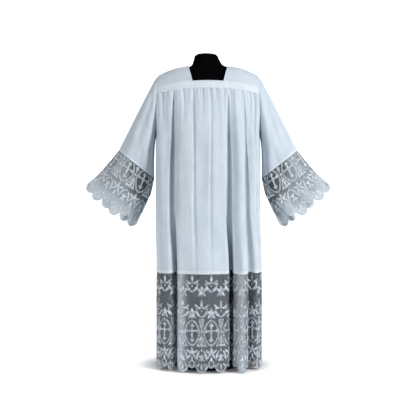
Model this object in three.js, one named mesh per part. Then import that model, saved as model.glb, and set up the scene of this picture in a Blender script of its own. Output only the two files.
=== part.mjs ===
// A lace alb on a full-length display form. Sizes are in millimetres.
// X runs to the viewer's right, the front of the garment faces -Y, Z is up and the floor is Z = 0.
import * as THREE from "three";

// Driving dimensions of the cloth
const CLOTH = 1.6; // thickness of the plain cloth
const LACE = 1.2; // thickness of the lace
const SEAM = 0.3; // gap between two pieces at a seam
const HALF_SEAM = SEAM / 2;
const SIDE_INSET = 0.0004; // share of the width by which front and back end short of the side seam
const HEM_LOW = 4; // lowest scallop above the floor
const HEM_LACE_DEPTH = 466; // hem lace, seam to scallop tip
const CUFF_LACE_DEPTH = 240; // cuff lace, seam to scallop tip
const REPEATS_PER_PANEL = 13; // lace repeats across the front, and as many across the back
const REPEATS_PER_CUFF = 6;

// Heights at the side of the garment, called levels
const SHOULDER_LEVEL = 1454; // outer end of the shoulder line
const BAND_LEVEL = 1384; // upper edge of the band under the neck
const GATHER_LEVEL = 1353; // lower edge of the band, where the cloth is gathered
const UNDERARM_LEVEL = 1150;
const FOLD_MIDDLE_LEVEL = 800;
const LACE_LEVEL = HEM_LOW + HEM_LACE_DEPTH;

// The armhole is an upright ellipse in a plane that leans in at the shoulder
const SIDE_HALF_WIDTH = 263;
const UNDERARM_X = 262;
const SHOULDER_X = 248;
const ARMHOLE_HALF_DEPTH = 72;
const ARMHOLE_MIDDLE = (SHOULDER_LEVEL + UNDERARM_LEVEL) / 2;
const ARMHOLE_HALF_HEIGHT = (SHOULDER_LEVEL - UNDERARM_LEVEL) / 2;

// Neck opening and shoulder line
const NECK_SIDE_X = 99; // where the shoulder line meets the neck
const NECK_SIDE_Z = 1500;
const SHOULDER_BULGE = 9; // how far the shoulder line bows above a straight one
const NECK_CORNER_ANGLE = THREE.MathUtils.degToRad(80);

// Half-depth of the body contour at each level, front and back, and how square its corners are
// (2 is an ellipse)
const BODY_LEVELS = [
  { level: 1390, front: 98, back: 84, power: 2.4 },
  { level: 1353, front: 108, back: 97, power: 2.4 },
  { level: 1250, front: 138, back: 120, power: 2.4 },
  { level: 1150, front: 158, back: 142, power: 2.4 },
  { level: 900, front: 184, back: 166, power: 2.7 },
  { level: 700, front: 196, back: 178, power: 3 },
  { level: 475, front: 206, back: 188, power: 3.2 },
  { level: 0, front: 214, back: 196, power: 3.2 },
];

// bows: how much higher a level line runs at the centre than at the armholes
// troughs: folds that run in, by place along the contour from the centre, + to the right as seen
// from that side. Places, mouths and depths are given at the gathers, in the middle and at the hem.
// swells: broad ridges that stand proud of the contour, with their height at the same three levels
const SIDES = {
  front: {
    facing: -1,
    neckCornerX: 76,
    bows: [
      { level: 1390, bow: 29 },
      { level: 1384, bow: 29 },
      { level: 1353, bow: 25 },
      { level: 1150, bow: 0 },
      { level: 0, bow: 0 },
    ],
    troughs: [
      { top: -168, middle: -178, hem: -172, mouths: [18, 52, 66], depths: [7, 28, 88] },
      { top: -70, middle: -66, hem: -64, mouths: [16, 28, 30], depths: [6, 9, 2] },
      { top: 18, middle: 12, hem: 8, mouths: [16, 28, 34], depths: [5, 5, 3] },
      { top: 96, middle: 104, hem: 108, mouths: [18, 50, 66], depths: [8, 30, 98] },
      { top: 178, middle: 196, hem: 214, mouths: [16, 38, 70], depths: [6, 22, 42] },
      { top: 236, middle: 262, hem: 290, mouths: [14, 26, 34], depths: [4, 10, 14] },
    ],
    swells: [
      { at: -22, halfWidth: 112, out: [0, 8, 20] },
      { at: 156, halfWidth: 40, out: [2, 16, 36] },
      { at: -240, halfWidth: 48, out: [0, 6, 6] },
    ],
    ripple: { spacing: 23, phase: 0.4 },
  },
  back: {
    facing: 1,
    neckCornerX: 80,
    bows: [
      { level: 1390, bow: 56 },
      { level: 1384, bow: 56 },
      { level: 1353, bow: 52 },
      { level: 1150, bow: 0 },
      { level: 0, bow: 0 },
    ],
    troughs: [
      { top: -200, middle: -226, hem: -238, mouths: [14, 28, 36], depths: [5, 16, 34] },
      { top: -118, middle: -136, hem: -144, mouths: [18, 50, 60], depths: [7, 28, 78] },
      { top: -22, middle: -18, hem: -14, mouths: [16, 42, 54], depths: [6, 24, 64] },
      { top: 64, middle: 60, hem: 58, mouths: [16, 28, 32], depths: [5, 10, 6] },
      { top: 122, middle: 134, hem: 142, mouths: [18, 50, 62], depths: [7, 30, 82] },
      { top: 206, middle: 228, hem: 240, mouths: [14, 28, 36], depths: [5, 15, 30] },
    ],
    swells: [
      { at: -80, halfWidth: 56, out: [0, 8, 18] },
      { at: 64, halfWidth: 66, out: [0, 8, 18] },
      { at: 190, halfWidth: 40, out: [0, 6, 14] },
    ],
    ripple: { spacing: 24, phase: 2.1 },
  },
};

// Gathers under the band: soft, uneven waves that open out as they fall
const RIPPLE_HEIGHT = 3.6;
const RIPPLE_AT_SEAM = 0.7;
const RIPPLE_RISE = 26; // below the seam, where the gathers stand highest
const RIPPLE_FADE = 150;
const RIPPLE_FADE_SPREAD = 90;
const RIPPLE_UNEVEN = [
  { size: 2.4, length: 43, phase: 1 },
  { size: 1.3, length: 19, phase: 2 },
];
const RIPPLE_STRENGTH = { least: 0.3, spread: 0.35, length: 31, phase: 3 };
const RIPPLE_FADE_LENGTH = 27;
const EDGE_CALM = 14; // the gathers die out over this stretch before a side edge
const TROUGH_RELEASE = 60; // below the seam, where the troughs reach their first depth
const STEEPEST_SWING = 2.25; // radians that the cloth's direction turns in the deepest trough
const LEAST_DEPTH = 0.01;
const HEM_LIFT = 0.15; // a fold that lies back by 1 mm hangs this much higher at the hem
const LIFT_FROM = 900; // level where that lift begins, and where it is whole
const LIFT_FULL = 300;
const HEM_LEAN = 6; // the foot hangs this far to the viewer's right
const HEM_LEAN_FROM = 760; // level below which it begins to

// Sleeve stations from the armhole (0) to the lace seam (1) and the scallops (2), right side:
// the upper crease, the lower crease, the half-depth, how pinched the creases are, and how far
// the middle of the front and the back hangs beyond them
const SLEEVE_STATIONS = [
  { along: 0, upX: 248, upZ: 1454, lowX: 262, lowZ: 1150, halfDepth: 72, pinch: 0, bow: 0 },
  { along: 0.1, upX: 270, upZ: 1427, lowX: 267, lowZ: 1126, halfDepth: 79, pinch: 0, bow: 0 },
  { along: 0.3, upX: 313, upZ: 1346, lowX: 270, lowZ: 1082, halfDepth: 81, pinch: 0.05, bow: 0 },
  { along: 0.6, upX: 376, upZ: 1222, lowX: 272, lowZ: 1018, halfDepth: 74, pinch: 0.1, bow: 0 },
  { along: 1, upX: 450, upZ: 1075, lowX: 271, lowZ: 936, halfDepth: 58, pinch: 0.2, bow: 2 },
  { along: 1.35, upX: 501, upZ: 1014, lowX: 286, lowZ: 860, halfDepth: 50, pinch: 0.4, bow: 6 },
  { along: 1.7, upX: 552, upZ: 956, lowX: 324, lowZ: 776, halfDepth: 42, pinch: 0.6, bow: 12 },
  { along: 2, upX: 629, upZ: 890, lowX: 371, lowZ: 682, halfDepth: 34, pinch: 0.8, bow: 18 },
];
const RING_SEAM = HALF_SEAM / CUFF_LACE_DEPTH;
const CUFF_MIDDLE = 1.45;
const ARMHOLE_GAP = 0.5; // between the sleeve and the armhole
const CUFF_PATTERN_SHIFT = 0.75; // in repeats, so that neither crease cuts a scallop's middle
// Soft folds of a sleeve by their turn round the ring (0 at the upper crease, front first)
const SLEEVE_FOLDS = [
  { turn: 0.17, halfWidth: 0.06, out: 4, from: 0.1 },
  { turn: 0.27, halfWidth: 0.06, out: -8, from: 0.15 },
  { turn: 0.36, halfWidth: 0.06, out: 7, from: 0.2 },
  { turn: 0.43, halfWidth: 0.05, out: -7, from: 0.2 },
  { turn: 0.6, halfWidth: 0.07, out: -7, from: 0.2 },
  { turn: 0.7, halfWidth: 0.06, out: 6, from: 0.15 },
  { turn: 0.82, halfWidth: 0.06, out: -5, from: 0.1 },
];

// Scalloped edge of the lace within one repeat (0 is the middle of the large scallop)
const LARGE_SCALLOP = { halfWidth: 0.325, drop: 38 };
const SMALL_SCALLOP = { centre: 0.5, halfWidth: 0.175, drop: 17 };
const SCALLOP_DROP = LARGE_SCALLOP.drop;
const EDGE_ROW_RISE = 1.25 * SCALLOP_DROP; // the last straight row above the scallops
const SCALLOP_MARKS = [0, 0.2, 0.325, 0.41, 0.5, 0.59, 0.675, 0.8]; // columns of one repeat
const FRONT_PATTERN_SHIFT = 0.45; // where the first repeat starts, in repeats from the side seam

// Level sections of the display form. A power of 2 is an ellipse, a lower one is more pointed.
// The neck leans a little to the viewer's left.
const FORM_TOP = 1551;
const FORM_BOTTOM = 20;
const NECK_LEAN = -9;
const FORM_SECTIONS = [
  { z: FORM_TOP, halfWidth: 57, halfDepth: 56, power: 2.2, lean: NECK_LEAN },
  { z: FORM_TOP - 4, halfWidth: 59, halfDepth: 58, power: 2.2, lean: NECK_LEAN },
  { z: 1530, halfWidth: 65, halfDepth: 59, power: 2.2, lean: -7 },
  { z: 1507, halfWidth: 76, halfDepth: 60, power: 1.8, lean: -4 },
  { z: 1497, halfWidth: 94, halfDepth: 61, power: 1.3 },
  { z: 1436, halfWidth: 246, halfDepth: 74, power: 2 },
  { z: 1410, halfWidth: 246, halfDepth: 84, power: 2.2 },
  { z: 1384, halfWidth: 240, halfDepth: 90, power: 2.2 },
  { z: 1330, halfWidth: 224, halfDepth: 98, power: 2.2 },
  { z: 1250, halfWidth: 202, halfDepth: 107, power: 2.2 },
  { z: 1150, halfWidth: 190, halfDepth: 110, power: 2.2 },
  { z: 1020, halfWidth: 176, halfDepth: 98, power: 2.2 },
  { z: 880, halfWidth: 190, halfDepth: 104, power: 2.2 },
  { z: 700, halfWidth: 210, halfDepth: 96, power: 2.2 },
  { z: 480, halfWidth: 242, halfDepth: 88, power: 2.5 },
  { z: 320, halfWidth: 246, halfDepth: 86, power: 2.6 },
  { z: FORM_BOTTOM + 6, halfWidth: 248, halfDepth: 86, power: 2.6 },
  { z: FORM_BOTTOM, halfWidth: 243, halfDepth: 80, power: 2.6 },
];
// The form's shoulders lie just under the cloth, from near the neck to the shoulder's end
const FORM_SHOULDER = {
  clearance: 0.7,
  stations: [0.15, 0.3, 0.5, 0.7, 0.85, 1],
  halfDepths: [61, 69],
  powers: [1.1, 1.6],
  endInset: 2,
};
const NECK_CAP = { radius: 52, height: 5 };
const POST = { radius: 19, top: FORM_BOTTOM - SEAM };
const BASE_PLATE = { radius: 170, height: 6 };

const BINDING = { width: 6, height: 1 };
const NEXT_TO_NECK = 0.03; // share of the way to the armhole that gives the binding its direction

// How finely each piece is divided
const PANEL_COLUMNS = 96;
const PANEL_DROPS = [0, 14, 40, 90, 180, 330, 560]; // rows below the gathers, then the lace seam
const LACE_ROWS = [0, 0.5];
const BAND_COLUMNS = 40;
const SLEEVE_COLUMNS = 32;
const SLEEVE_ROWS = [0, 0.08, 0.2, 0.4, 0.7, 1];
const SHOULDER_COLUMNS = 8;
const SHOULDER_ROWS = 12;
const NECK_COLUMNS = 8;
const FORM_COLUMNS = 24;
const DISC_SIDES = 36;
const CONTOUR_STEPS = 260;
const RING_STEPS = 240; // points of a sleeve's ring before it is divided evenly
const SWING_BISECTIONS = 30;
const CURVE_STEP = 3; // mm between the points of a level line before it is divided evenly
const FOLD_POINTS = 36; // points of one trough

const { lerp, clamp, smoothstep } = THREE.MathUtils;

// A value from a table whose rows hold it at falling or rising keys, eased between rows
function fromTable(rows, key, name, at) {
  const ordered = [...rows].sort((a, b) => a[key] - b[key]);
  if (at <= ordered[0][key]) return ordered[0][name];
  for (let i = 1; i < ordered.length; i++) {
    const low = ordered[i - 1];
    const high = ordered[i];
    if (at <= high[key]) {
      return lerp(low[name], high[name], (at - low[key]) / (high[key] - low[key]));
    }
  }
  return ordered[ordered.length - 1][name];
}

// A bump that is 1 at its middle and 0 from its half-width outwards
function bump(distance, halfWidth) {
  const share = clamp(Math.abs(distance) / halfWidth, 0, 1);
  return (1 + Math.cos(Math.PI * share)) / 2;
}

// A fold's value at a level, from its values at the gathers, in the middle and at the hem
function throughLevels([top, middle, hem], level) {
  if (level > FOLD_MIDDLE_LEVEL) {
    const share = (level - FOLD_MIDDLE_LEVEL) / (GATHER_LEVEL - FOLD_MIDDLE_LEVEL);
    return lerp(middle, top, clamp(share, 0, 1));
  }
  return lerp(middle, hem, smoothstep(FOLD_MIDDLE_LEVEL - level, 0, FOLD_MIDDLE_LEVEL - LACE_LEVEL));
}

// Where the armhole runs at a level: x, and the distance from the middle plane
function armholeEdge(level) {
  if (level <= UNDERARM_LEVEL) return { x: SIDE_HALF_WIDTH, depth: 0 };
  const rise = clamp((level - UNDERARM_LEVEL) / (SHOULDER_LEVEL - UNDERARM_LEVEL), 0, 1);
  const height = (level - ARMHOLE_MIDDLE) / ARMHOLE_HALF_HEIGHT;
  return {
    x: lerp(UNDERARM_X, SHOULDER_X, rise),
    depth: ARMHOLE_HALF_DEPTH * Math.sqrt(Math.max(0, 1 - height * height)),
  };
}

// Half-depth of the contour at a level, and how square it is there
const halfDepthAt = (sideName, level) => fromTable(BODY_LEVELS, "level", sideName, level);
const powerAt = (level) => fromTable(BODY_LEVELS, "level", "power", level);

// The contour's half-width, so that it passes through the armhole's edge
function halfWidthAt(sideName, level) {
  const edge = armholeEdge(level);
  const power = powerAt(level);
  const share = Math.pow(edge.depth / halfDepthAt(sideName, level), power);
  return edge.x / Math.pow(1 - share, 1 / power);
}

// Height of a point of a level line: the line bows up towards the centre
function heightAt(sideName, level, x) {
  const bow = fromTable(SIDES[sideName].bows, "level", "bow", level);
  const share = clamp(x / armholeEdge(level).x, -1, 1);
  return level + bow * (1 - share * share);
}

// A point of the plain contour, by x
function contourPoint(sideName, level, x) {
  const power = powerAt(level);
  const share = Math.pow(Math.abs(x) / halfWidthAt(sideName, level), power);
  const depth = halfDepthAt(sideName, level) * Math.pow(Math.max(0, 1 - share), 1 / power);
  return new THREE.Vector3(x, SIDES[sideName].facing * depth, heightAt(sideName, level, x));
}

// The plain contour at a level with its swells, as points with their distance along it from the
// centre and their outward direction, from the viewer's left to right seen from outside
function plainContour(sideName, level) {
  const side = SIDES[sideName];
  const halfWidth = halfWidthAt(sideName, level);
  const halfDepth = halfDepthAt(sideName, level);
  const power = powerAt(level);
  const edgeShare = armholeEdge(level).depth / halfDepth;
  const start = Math.asin(Math.pow(edgeShare, power / 2));
  const points = [];
  for (let i = 0; i <= CONTOUR_STEPS; i++) {
    const turn = lerp(Math.PI - start, start, i / CONTOUR_STEPS);
    const across = Math.cos(turn);
    const inAndOut = Math.sin(turn);
    const x = halfWidth * Math.sign(across) * Math.pow(Math.abs(across), 2 / power);
    const y = -halfDepth * Math.pow(Math.abs(inAndOut), 2 / power);
    points.push({ x, y });
  }
  let along = 0;
  points.forEach((p, i) => {
    if (i > 0) along += Math.hypot(p.x - points[i - 1].x, p.y - points[i - 1].y);
    p.along = along;
  });
  points.forEach((p) => (p.along -= along / 2));
  const outward = points.map((p, i) => {
    const before = points[Math.max(i - 1, 0)];
    const after = points[Math.min(i + 1, CONTOUR_STEPS)];
    const length = Math.hypot(after.x - before.x, after.y - before.y);
    return { x: (after.y - before.y) / length, y: -(after.x - before.x) / length };
  });
  return points.map((p, i) => {
    const out = side.swells.reduce(
      (sum, s) => sum + throughLevels(s.out, level) * bump(p.along - s.at, s.halfWidth),
      0,
    );
    const n = outward[i];
    return { along: p.along, x: p.x + n.x * out, y: p.y + n.y * out, outX: n.x, outY: n.y };
  });
}

// The contour's point at a distance along it, between two of its points
function alongContour(contour, along) {
  let low = 0;
  let high = contour.length - 1;
  while (high - low > 1) {
    const middle = (low + high) >> 1;
    if (contour[middle].along <= along) low = middle;
    else high = middle;
  }
  const a = contour[low];
  const b = contour[high];
  const share = (along - a.along) / (b.along - a.along);
  const mixed = {};
  for (const name of ["x", "y", "outX", "outY"]) mixed[name] = lerp(a[name], b[name], share);
  return mixed;
}

// One trough seen from above. The cloth's direction swings as a sine of the distance along it,
// which is how cloth folds: at a large swing the fold is wider inside than at its mouth.
function troughOutline(swing) {
  const points = [{ across: 0, inward: 0 }];
  for (let i = 0; i < FOLD_POINTS; i++) {
    const angle = swing * Math.sin((2 * Math.PI * (i + 0.5)) / FOLD_POINTS);
    const last = points[i];
    points.push({
      across: last.across + Math.cos(angle) / FOLD_POINTS,
      inward: last.inward + Math.sin(angle) / FOLD_POINTS,
    });
  }
  return points;
}

// The trough with this mouth and depth, centred on its mouth
function trough(mouth, depth) {
  let low = 0;
  let high = STEEPEST_SWING;
  for (let i = 0; i < SWING_BISECTIONS; i++) {
    const swing = (low + high) / 2;
    const outline = troughOutline(swing);
    const deepest = outline[FOLD_POINTS / 2].inward;
    if (deepest / outline[FOLD_POINTS].across < depth / mouth) low = swing;
    else high = swing;
  }
  const outline = troughOutline(low);
  const scale = mouth / outline[FOLD_POINTS].across;
  return outline.map((p) => ({ across: p.across * scale - mouth / 2, inward: p.inward * scale }));
}

// Height of the gathers at a place of the contour
function rippleAt(side, level, along) {
  const below = GATHER_LEVEL - level;
  const { spacing, phase } = side.ripple;
  const uneven = RIPPLE_UNEVEN.reduce(
    (sum, row) => sum + row.size * Math.sin(along / row.length + row.phase * phase),
    0,
  );
  const wave = Math.sin((2 * Math.PI * along) / spacing + uneven);
  const { least, spread, length: strengthLength, phase: strengthPhase } = RIPPLE_STRENGTH;
  const strength = least + spread * (1 + Math.sin(along / strengthLength + strengthPhase * phase));
  const rise = lerp(RIPPLE_AT_SEAM, RIPPLE_HEIGHT, smoothstep(below, 0, RIPPLE_RISE));
  const length = RIPPLE_FADE + RIPPLE_FADE_SPREAD * Math.sin(along / RIPPLE_FADE_LENGTH + phase);
  return wave * strength * rise * Math.exp(-Math.pow(below / length, 2));
}

// The cloth's line at a level: contour, troughs and gathers, as points with outward directions
function levelLine(sideName, level) {
  const side = SIDES[sideName];
  const contour = plainContour(sideName, level);
  const end = contour[contour.length - 1].along;
  const release = smoothstep(GATHER_LEVEL - level, 0, TROUGH_RELEASE);
  const line = [];
  let along = -end;
  const stretchTo = (target) => {
    const steps = Math.max(1, Math.round((target - along) / CURVE_STEP));
    for (let i = line.length ? 1 : 0; i <= steps; i++) {
      const at = lerp(along, target, i / steps);
      line.push({ ...alongContour(contour, at), along: at, inward: 0 });
    }
    along = target;
  };
  for (const row of side.troughs) {
    const centre = throughLevels([row.top, row.middle, row.hem], level);
    const mouth = throughLevels(row.mouths, level);
    const depth = throughLevels(row.depths, level) * release + LEAST_DEPTH;
    stretchTo(centre - mouth / 2);
    for (const p of trough(mouth, depth).slice(1)) {
      const foot = alongContour(contour, centre + p.across);
      foot.x -= foot.outX * p.inward;
      foot.y -= foot.outY * p.inward;
      line.push({ ...foot, along: centre + p.across, inward: p.inward });
    }
    along = centre + mouth / 2;
  }
  stretchTo(end);
  const shaped = line.map((p, i) => {
    const before = line[Math.max(i - 1, 0)];
    const after = line[Math.min(i + 1, line.length - 1)];
    const length = Math.hypot(after.x - before.x, after.y - before.y) || 1;
    const outX = (after.y - before.y) / length;
    const outY = -(after.x - before.x) / length;
    const out = rippleAt(side, level, p.along) * edgeCalm(end, p.along);
    return { x: p.x + outX * out, y: p.y + outY * out, outX, outY, inward: p.inward };
  });
  let length = 0;
  shaped.forEach((p, i) => {
    if (i > 0) length += Math.hypot(p.x - shaped[i - 1].x, p.y - shaped[i - 1].y);
    p.cloth = length;
  });
  return shaped;
}

// Gathers die out before a side edge
const edgeCalm = (end, along) => smoothstep(end - Math.abs(along), 0, EDGE_CALM);

// Points of a level line at shares of the cloth's own width, with outward directions
function pointsOnLevel(sideName, level, shares) {
  const side = SIDES[sideName];
  const line = levelLine(sideName, level);
  const width = line[line.length - 1].cloth;
  let i = 1;
  return shares.map((share) => {
    const target = share * width;
    while (i < line.length - 1 && line[i].cloth < target) i++;
    const a = line[i - 1];
    const b = line[i];
    const t = clamp((target - a.cloth) / (b.cloth - a.cloth || 1), 0, 1);
    const x = lerp(a.x, b.x, t);
    const y = lerp(a.y, b.y, t);
    const lift = HEM_LIFT * lerp(a.inward, b.inward, t) * smoothstep(-level, -LIFT_FROM, -LIFT_FULL);
    const lean = HEM_LEAN * smoothstep(-level, -HEM_LEAN_FROM, -LACE_LEVEL);
    // The line is worked out as a front. Turned half round, it is the back.
    const turn = -side.facing;
    const out = new THREE.Vector3(lerp(a.outX, b.outX, t), lerp(a.outY, b.outY, t), 0).normalize();
    return {
      point: new THREE.Vector3(turn * x + lean, turn * y, heightAt(sideName, level, x) + lift),
      out: out.multiplyScalar(turn).setZ(0),
    };
  });
}

// A closed wall from rows of outer points. Rows run down and columns run from the viewer's left to
// right, seen from outside. A tube's columns close on themselves.
function wall(rows, thickness, isTube = false) {
  const columns = rows[0].length;
  const positions = [];
  rows.forEach((row) => row.forEach(({ point }) => positions.push(...point.toArray())));
  rows.forEach((row) =>
    row.forEach(({ point, out }) => {
      positions.push(...point.clone().addScaledVector(out, -thickness).toArray());
    }),
  );
  const inner = rows.length * columns;
  const at = (row, column) => row * columns + (column % columns);
  const triangles = [];
  const quad = (a, b, c, d) => triangles.push(a, b, c, a, c, d);
  const lastColumn = isTube ? columns : columns - 1;
  for (let r = 0; r < rows.length - 1; r++) {
    for (let c = 0; c < lastColumn; c++) {
      const [a, b, d, e] = [at(r, c), at(r + 1, c), at(r + 1, c + 1), at(r, c + 1)];
      quad(a, b, d, e);
      // The inner face is divided along the same diagonal, so that the wall keeps its thickness
      quad(a + inner, e + inner, d + inner, b + inner);
    }
    if (!isTube) {
      quad(at(r, 0), at(r, 0) + inner, at(r + 1, 0) + inner, at(r + 1, 0));
      const end = columns - 1;
      quad(at(r + 1, end), at(r + 1, end) + inner, at(r, end) + inner, at(r, end));
    }
  }
  const bottom = rows.length - 1;
  for (let c = 0; c < lastColumn; c++) {
    quad(at(0, c), at(0, c + 1), at(0, c + 1) + inner, at(0, c) + inner);
    quad(at(bottom, c) + inner, at(bottom, c + 1) + inner, at(bottom, c + 1), at(bottom, c));
  }
  return bufferGeometry(positions, triangles);
}

function bufferGeometry(positions, triangles) {
  const geometry = new THREE.BufferGeometry();
  geometry.setAttribute("position", new THREE.Float32BufferAttribute(positions, 3));
  geometry.setIndex(triangles);
  geometry.computeVertexNormals();
  return geometry;
}

// A closed solid from rings of points stacked from the top down
function stack(rings) {
  const columns = rings[0].length;
  const positions = rings.flat().flatMap((p) => p.toArray());
  const triangles = [];
  for (let r = 0; r < rings.length - 1; r++) {
    for (let c = 0; c < columns; c++) {
      const a = r * columns + c;
      const b = r * columns + ((c + 1) % columns);
      triangles.push(a, a + columns, b + columns, a, b + columns, b);
    }
  }
  const last = (rings.length - 1) * columns;
  for (let c = 1; c < columns - 1; c++) {
    triangles.push(0, c, c + 1);
    triangles.push(last, last + c + 1, last + c);
  }
  return bufferGeometry(positions, triangles);
}

const evenShares = (count) => Array.from({ length: count + 1 }, (_, i) => i / count);

// Front or back panel, from the gathers to the lace seam
function panel(sideName) {
  const levels = PANEL_DROPS.map((drop) => GATHER_LEVEL - HALF_SEAM - drop);
  levels.push(LACE_LEVEL + HALF_SEAM);
  const shares = evenShares(PANEL_COLUMNS);
  return wall(levels.map((level) => pointsOnLevel(sideName, level, sideGap(shares))), CLOTH);
}

// Shares drawn in a little at both ends, so that front and back stay apart at the side seams
function sideGap(shares) {
  return shares.map((share) => clamp(share, SIDE_INSET, 1 - SIDE_INSET));
}

// How far the lace hangs at a place of its repeat, above the tip of a large scallop
function scallopRise(repeat) {
  const place = repeat - Math.floor(repeat);
  const fromLarge = Math.min(place, 1 - place) / LARGE_SCALLOP.halfWidth;
  if (fromLarge <= 1) return SCALLOP_DROP - LARGE_SCALLOP.drop * Math.sqrt(1 - fromLarge ** 2);
  const fromSmall = clamp((place - SMALL_SCALLOP.centre) / SMALL_SCALLOP.halfWidth, -1, 1);
  return SCALLOP_DROP - SMALL_SCALLOP.drop * Math.sqrt(1 - fromSmall ** 2);
}

// Shares of a lace's width at the marks of its repeats, with the ends
function laceShares(repeats, shift) {
  const shares = [];
  for (let r = -1; r <= repeats; r++) {
    for (const mark of SCALLOP_MARKS) shares.push((r + mark + shift) / repeats);
  }
  const tooNear = 0.02 / repeats;
  return [0, ...shares.filter((s) => s > tooNear && s < 1 - tooNear), 1];
}

// Front or back half of the hem lace, with its scalloped edge
function hemLace(sideName) {
  const shares = laceShares(REPEATS_PER_PANEL, FRONT_PATTERN_SHIFT);
  const top = LACE_LEVEL - HALF_SEAM;
  const rows = LACE_ROWS.map((share) => lerp(top, HEM_LOW, share));
  rows.push(HEM_LOW + EDGE_ROW_RISE);
  const made = rows.map((level) => pointsOnLevel(sideName, level, sideGap(shares)));
  const edge = pointsOnLevel(sideName, HEM_LOW, sideGap(shares));
  edge.forEach((p, i) => {
    p.point.z += scallopRise(shares[i] * REPEATS_PER_PANEL - FRONT_PATTERN_SHIFT);
  });
  return wall([...made, edge], LACE);
}

// The band between neck and gathers
function band(sideName) {
  const levels = [BAND_LEVEL - HALF_SEAM, (BAND_LEVEL + GATHER_LEVEL) / 2, GATHER_LEVEL + HALF_SEAM];
  const shares = evenShares(BAND_COLUMNS);
  return wall(
    levels.map((level) =>
      shares.map((share) => {
        const edge = armholeEdge(level).x;
        const across = -Math.cos(Math.PI * share) * edge;
        const x = -SIDES[sideName].facing * across;
        const point = contourPoint(sideName, level, x);
        return { point, out: contourOut(sideName, level, x) };
      }),
    ),
    CLOTH,
  );
}

// Level outward direction of the plain contour
function contourOut(sideName, level, x) {
  const reach = 0.5;
  const a = contourPoint(sideName, level, x - reach);
  const b = contourPoint(sideName, level, x + reach);
  const facing = SIDES[sideName].facing;
  return new THREE.Vector3(-facing * (b.y - a.y), facing * (b.x - a.x), 0).normalize();
}

// Height of the shoulder line above a place between neck (0) and armhole (1)
function shoulderLine(across) {
  const bulge = SHOULDER_BULGE * Math.sin(Math.PI * across);
  return {
    x: lerp(NECK_SIDE_X, SHOULDER_X, across),
    z: lerp(NECK_SIDE_Z, SHOULDER_LEVEL, across) + bulge,
  };
}

// A point of the shoulder piece on the right. across runs from the neck to the armhole,
// over from the front band (-1) to the shoulder line (0) and the back band (1).
function shoulderPoint(across, over) {
  const sideName = over < 0 ? "front" : "back";
  const crest = shoulderLine(across);
  const level = BAND_LEVEL + HALF_SEAM;
  const footX = lerp(SIDES[sideName].neckCornerX, armholeEdge(level).x, across);
  const foot = contourPoint(sideName, level, footX);
  const armholeAngle = Math.acos((BAND_LEVEL - ARMHOLE_MIDDLE) / ARMHOLE_HALF_HEIGHT);
  const angle = lerp(NECK_CORNER_ANGLE, armholeAngle, across);
  const swept = angle * Math.abs(over);
  const drop = (1 - Math.cos(swept)) / (1 - Math.cos(angle));
  return new THREE.Vector3(
    lerp(crest.x, foot.x, drop),
    (foot.y * Math.sin(swept)) / Math.sin(angle),
    lerp(crest.z, foot.z, drop),
  );
}

// Outward direction of the shoulder piece. It is level along both bands, where pieces meet.
function shoulderOut(across, over) {
  const reach = 0.01;
  const alongNeck = shoulderPoint(clamp(across + reach, 0, 1), over).sub(
    shoulderPoint(clamp(across - reach, 0, 1), over),
  );
  const overShoulder = shoulderPoint(across, clamp(over + reach, -1, 1)).sub(
    shoulderPoint(across, clamp(over - reach, -1, 1)),
  );
  const out = alongNeck.cross(overShoulder).normalize();
  if (Math.abs(over) === 1) out.setZ(0).normalize();
  return out;
}

function shoulder(mirror) {
  const rows = evenShares(SHOULDER_COLUMNS).map((across) =>
    evenShares(SHOULDER_ROWS).map((share) => {
      const over = mirror * (2 * share - 1);
      const point = shoulderPoint(across, over);
      const out = shoulderOut(across, over);
      return { point: mirrored(point, mirror), out: mirrored(out, mirror) };
    }),
  );
  return wall(rows, CLOTH);
}

function mirrored(vector, mirror) {
  return new THREE.Vector3(mirror * vector.x, vector.y, vector.z);
}

// The right sleeve's ring at a place along it: turn 0 is the upper crease, then the front
function sleevePoint(along, turn) {
  const value = (name) => fromTable(SLEEVE_STATIONS, "along", name, along);
  const angle = 2 * Math.PI * turn;
  const half = { x: (value("upX") - value("lowX")) / 2, z: (value("upZ") - value("lowZ")) / 2 };
  const middle = { x: (value("upX") + value("lowX")) / 2, z: (value("upZ") + value("lowZ")) / 2 };
  const across = Math.cos(angle);
  const depth = Math.sin(angle) * Math.pow(Math.abs(Math.sin(angle)), value("pinch"));
  const fade = smoothstep(along, 0, 0.5);
  const out = SLEEVE_FOLDS.reduce((sum, fold) => {
    const grown = smoothstep(along, fold.from, 1);
    return sum + fold.out * grown * fade * bump(turn - fold.turn, fold.halfWidth);
  }, 0);
  const direction = Math.sign(Math.sin(angle)) || 1;
  const beyond = (value("bow") * Math.sin(angle) ** 2) / Math.hypot(half.x, half.z);
  return new THREE.Vector3(
    middle.x + half.x * across + half.z * beyond,
    -(value("halfDepth") * depth + direction * out),
    middle.z + half.z * across - half.x * beyond,
  );
}

// Turns of a ring that divide its length as the shares do
function evenTurns(along, shares) {
  let length = 0;
  let last = sleevePoint(along, 0);
  const lengths = [0];
  for (let i = 1; i <= RING_STEPS; i++) {
    const point = sleevePoint(along, i / RING_STEPS);
    length += point.distanceTo(last);
    lengths.push(length);
    last = point;
  }
  return shares.map((share) => {
    const target = share * length;
    let i = 1;
    while (i < RING_STEPS && lengths[i] < target) i++;
    const t = (target - lengths[i - 1]) / (lengths[i] - lengths[i - 1]);
    return (i - 1 + t) / RING_STEPS;
  });
}

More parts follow.
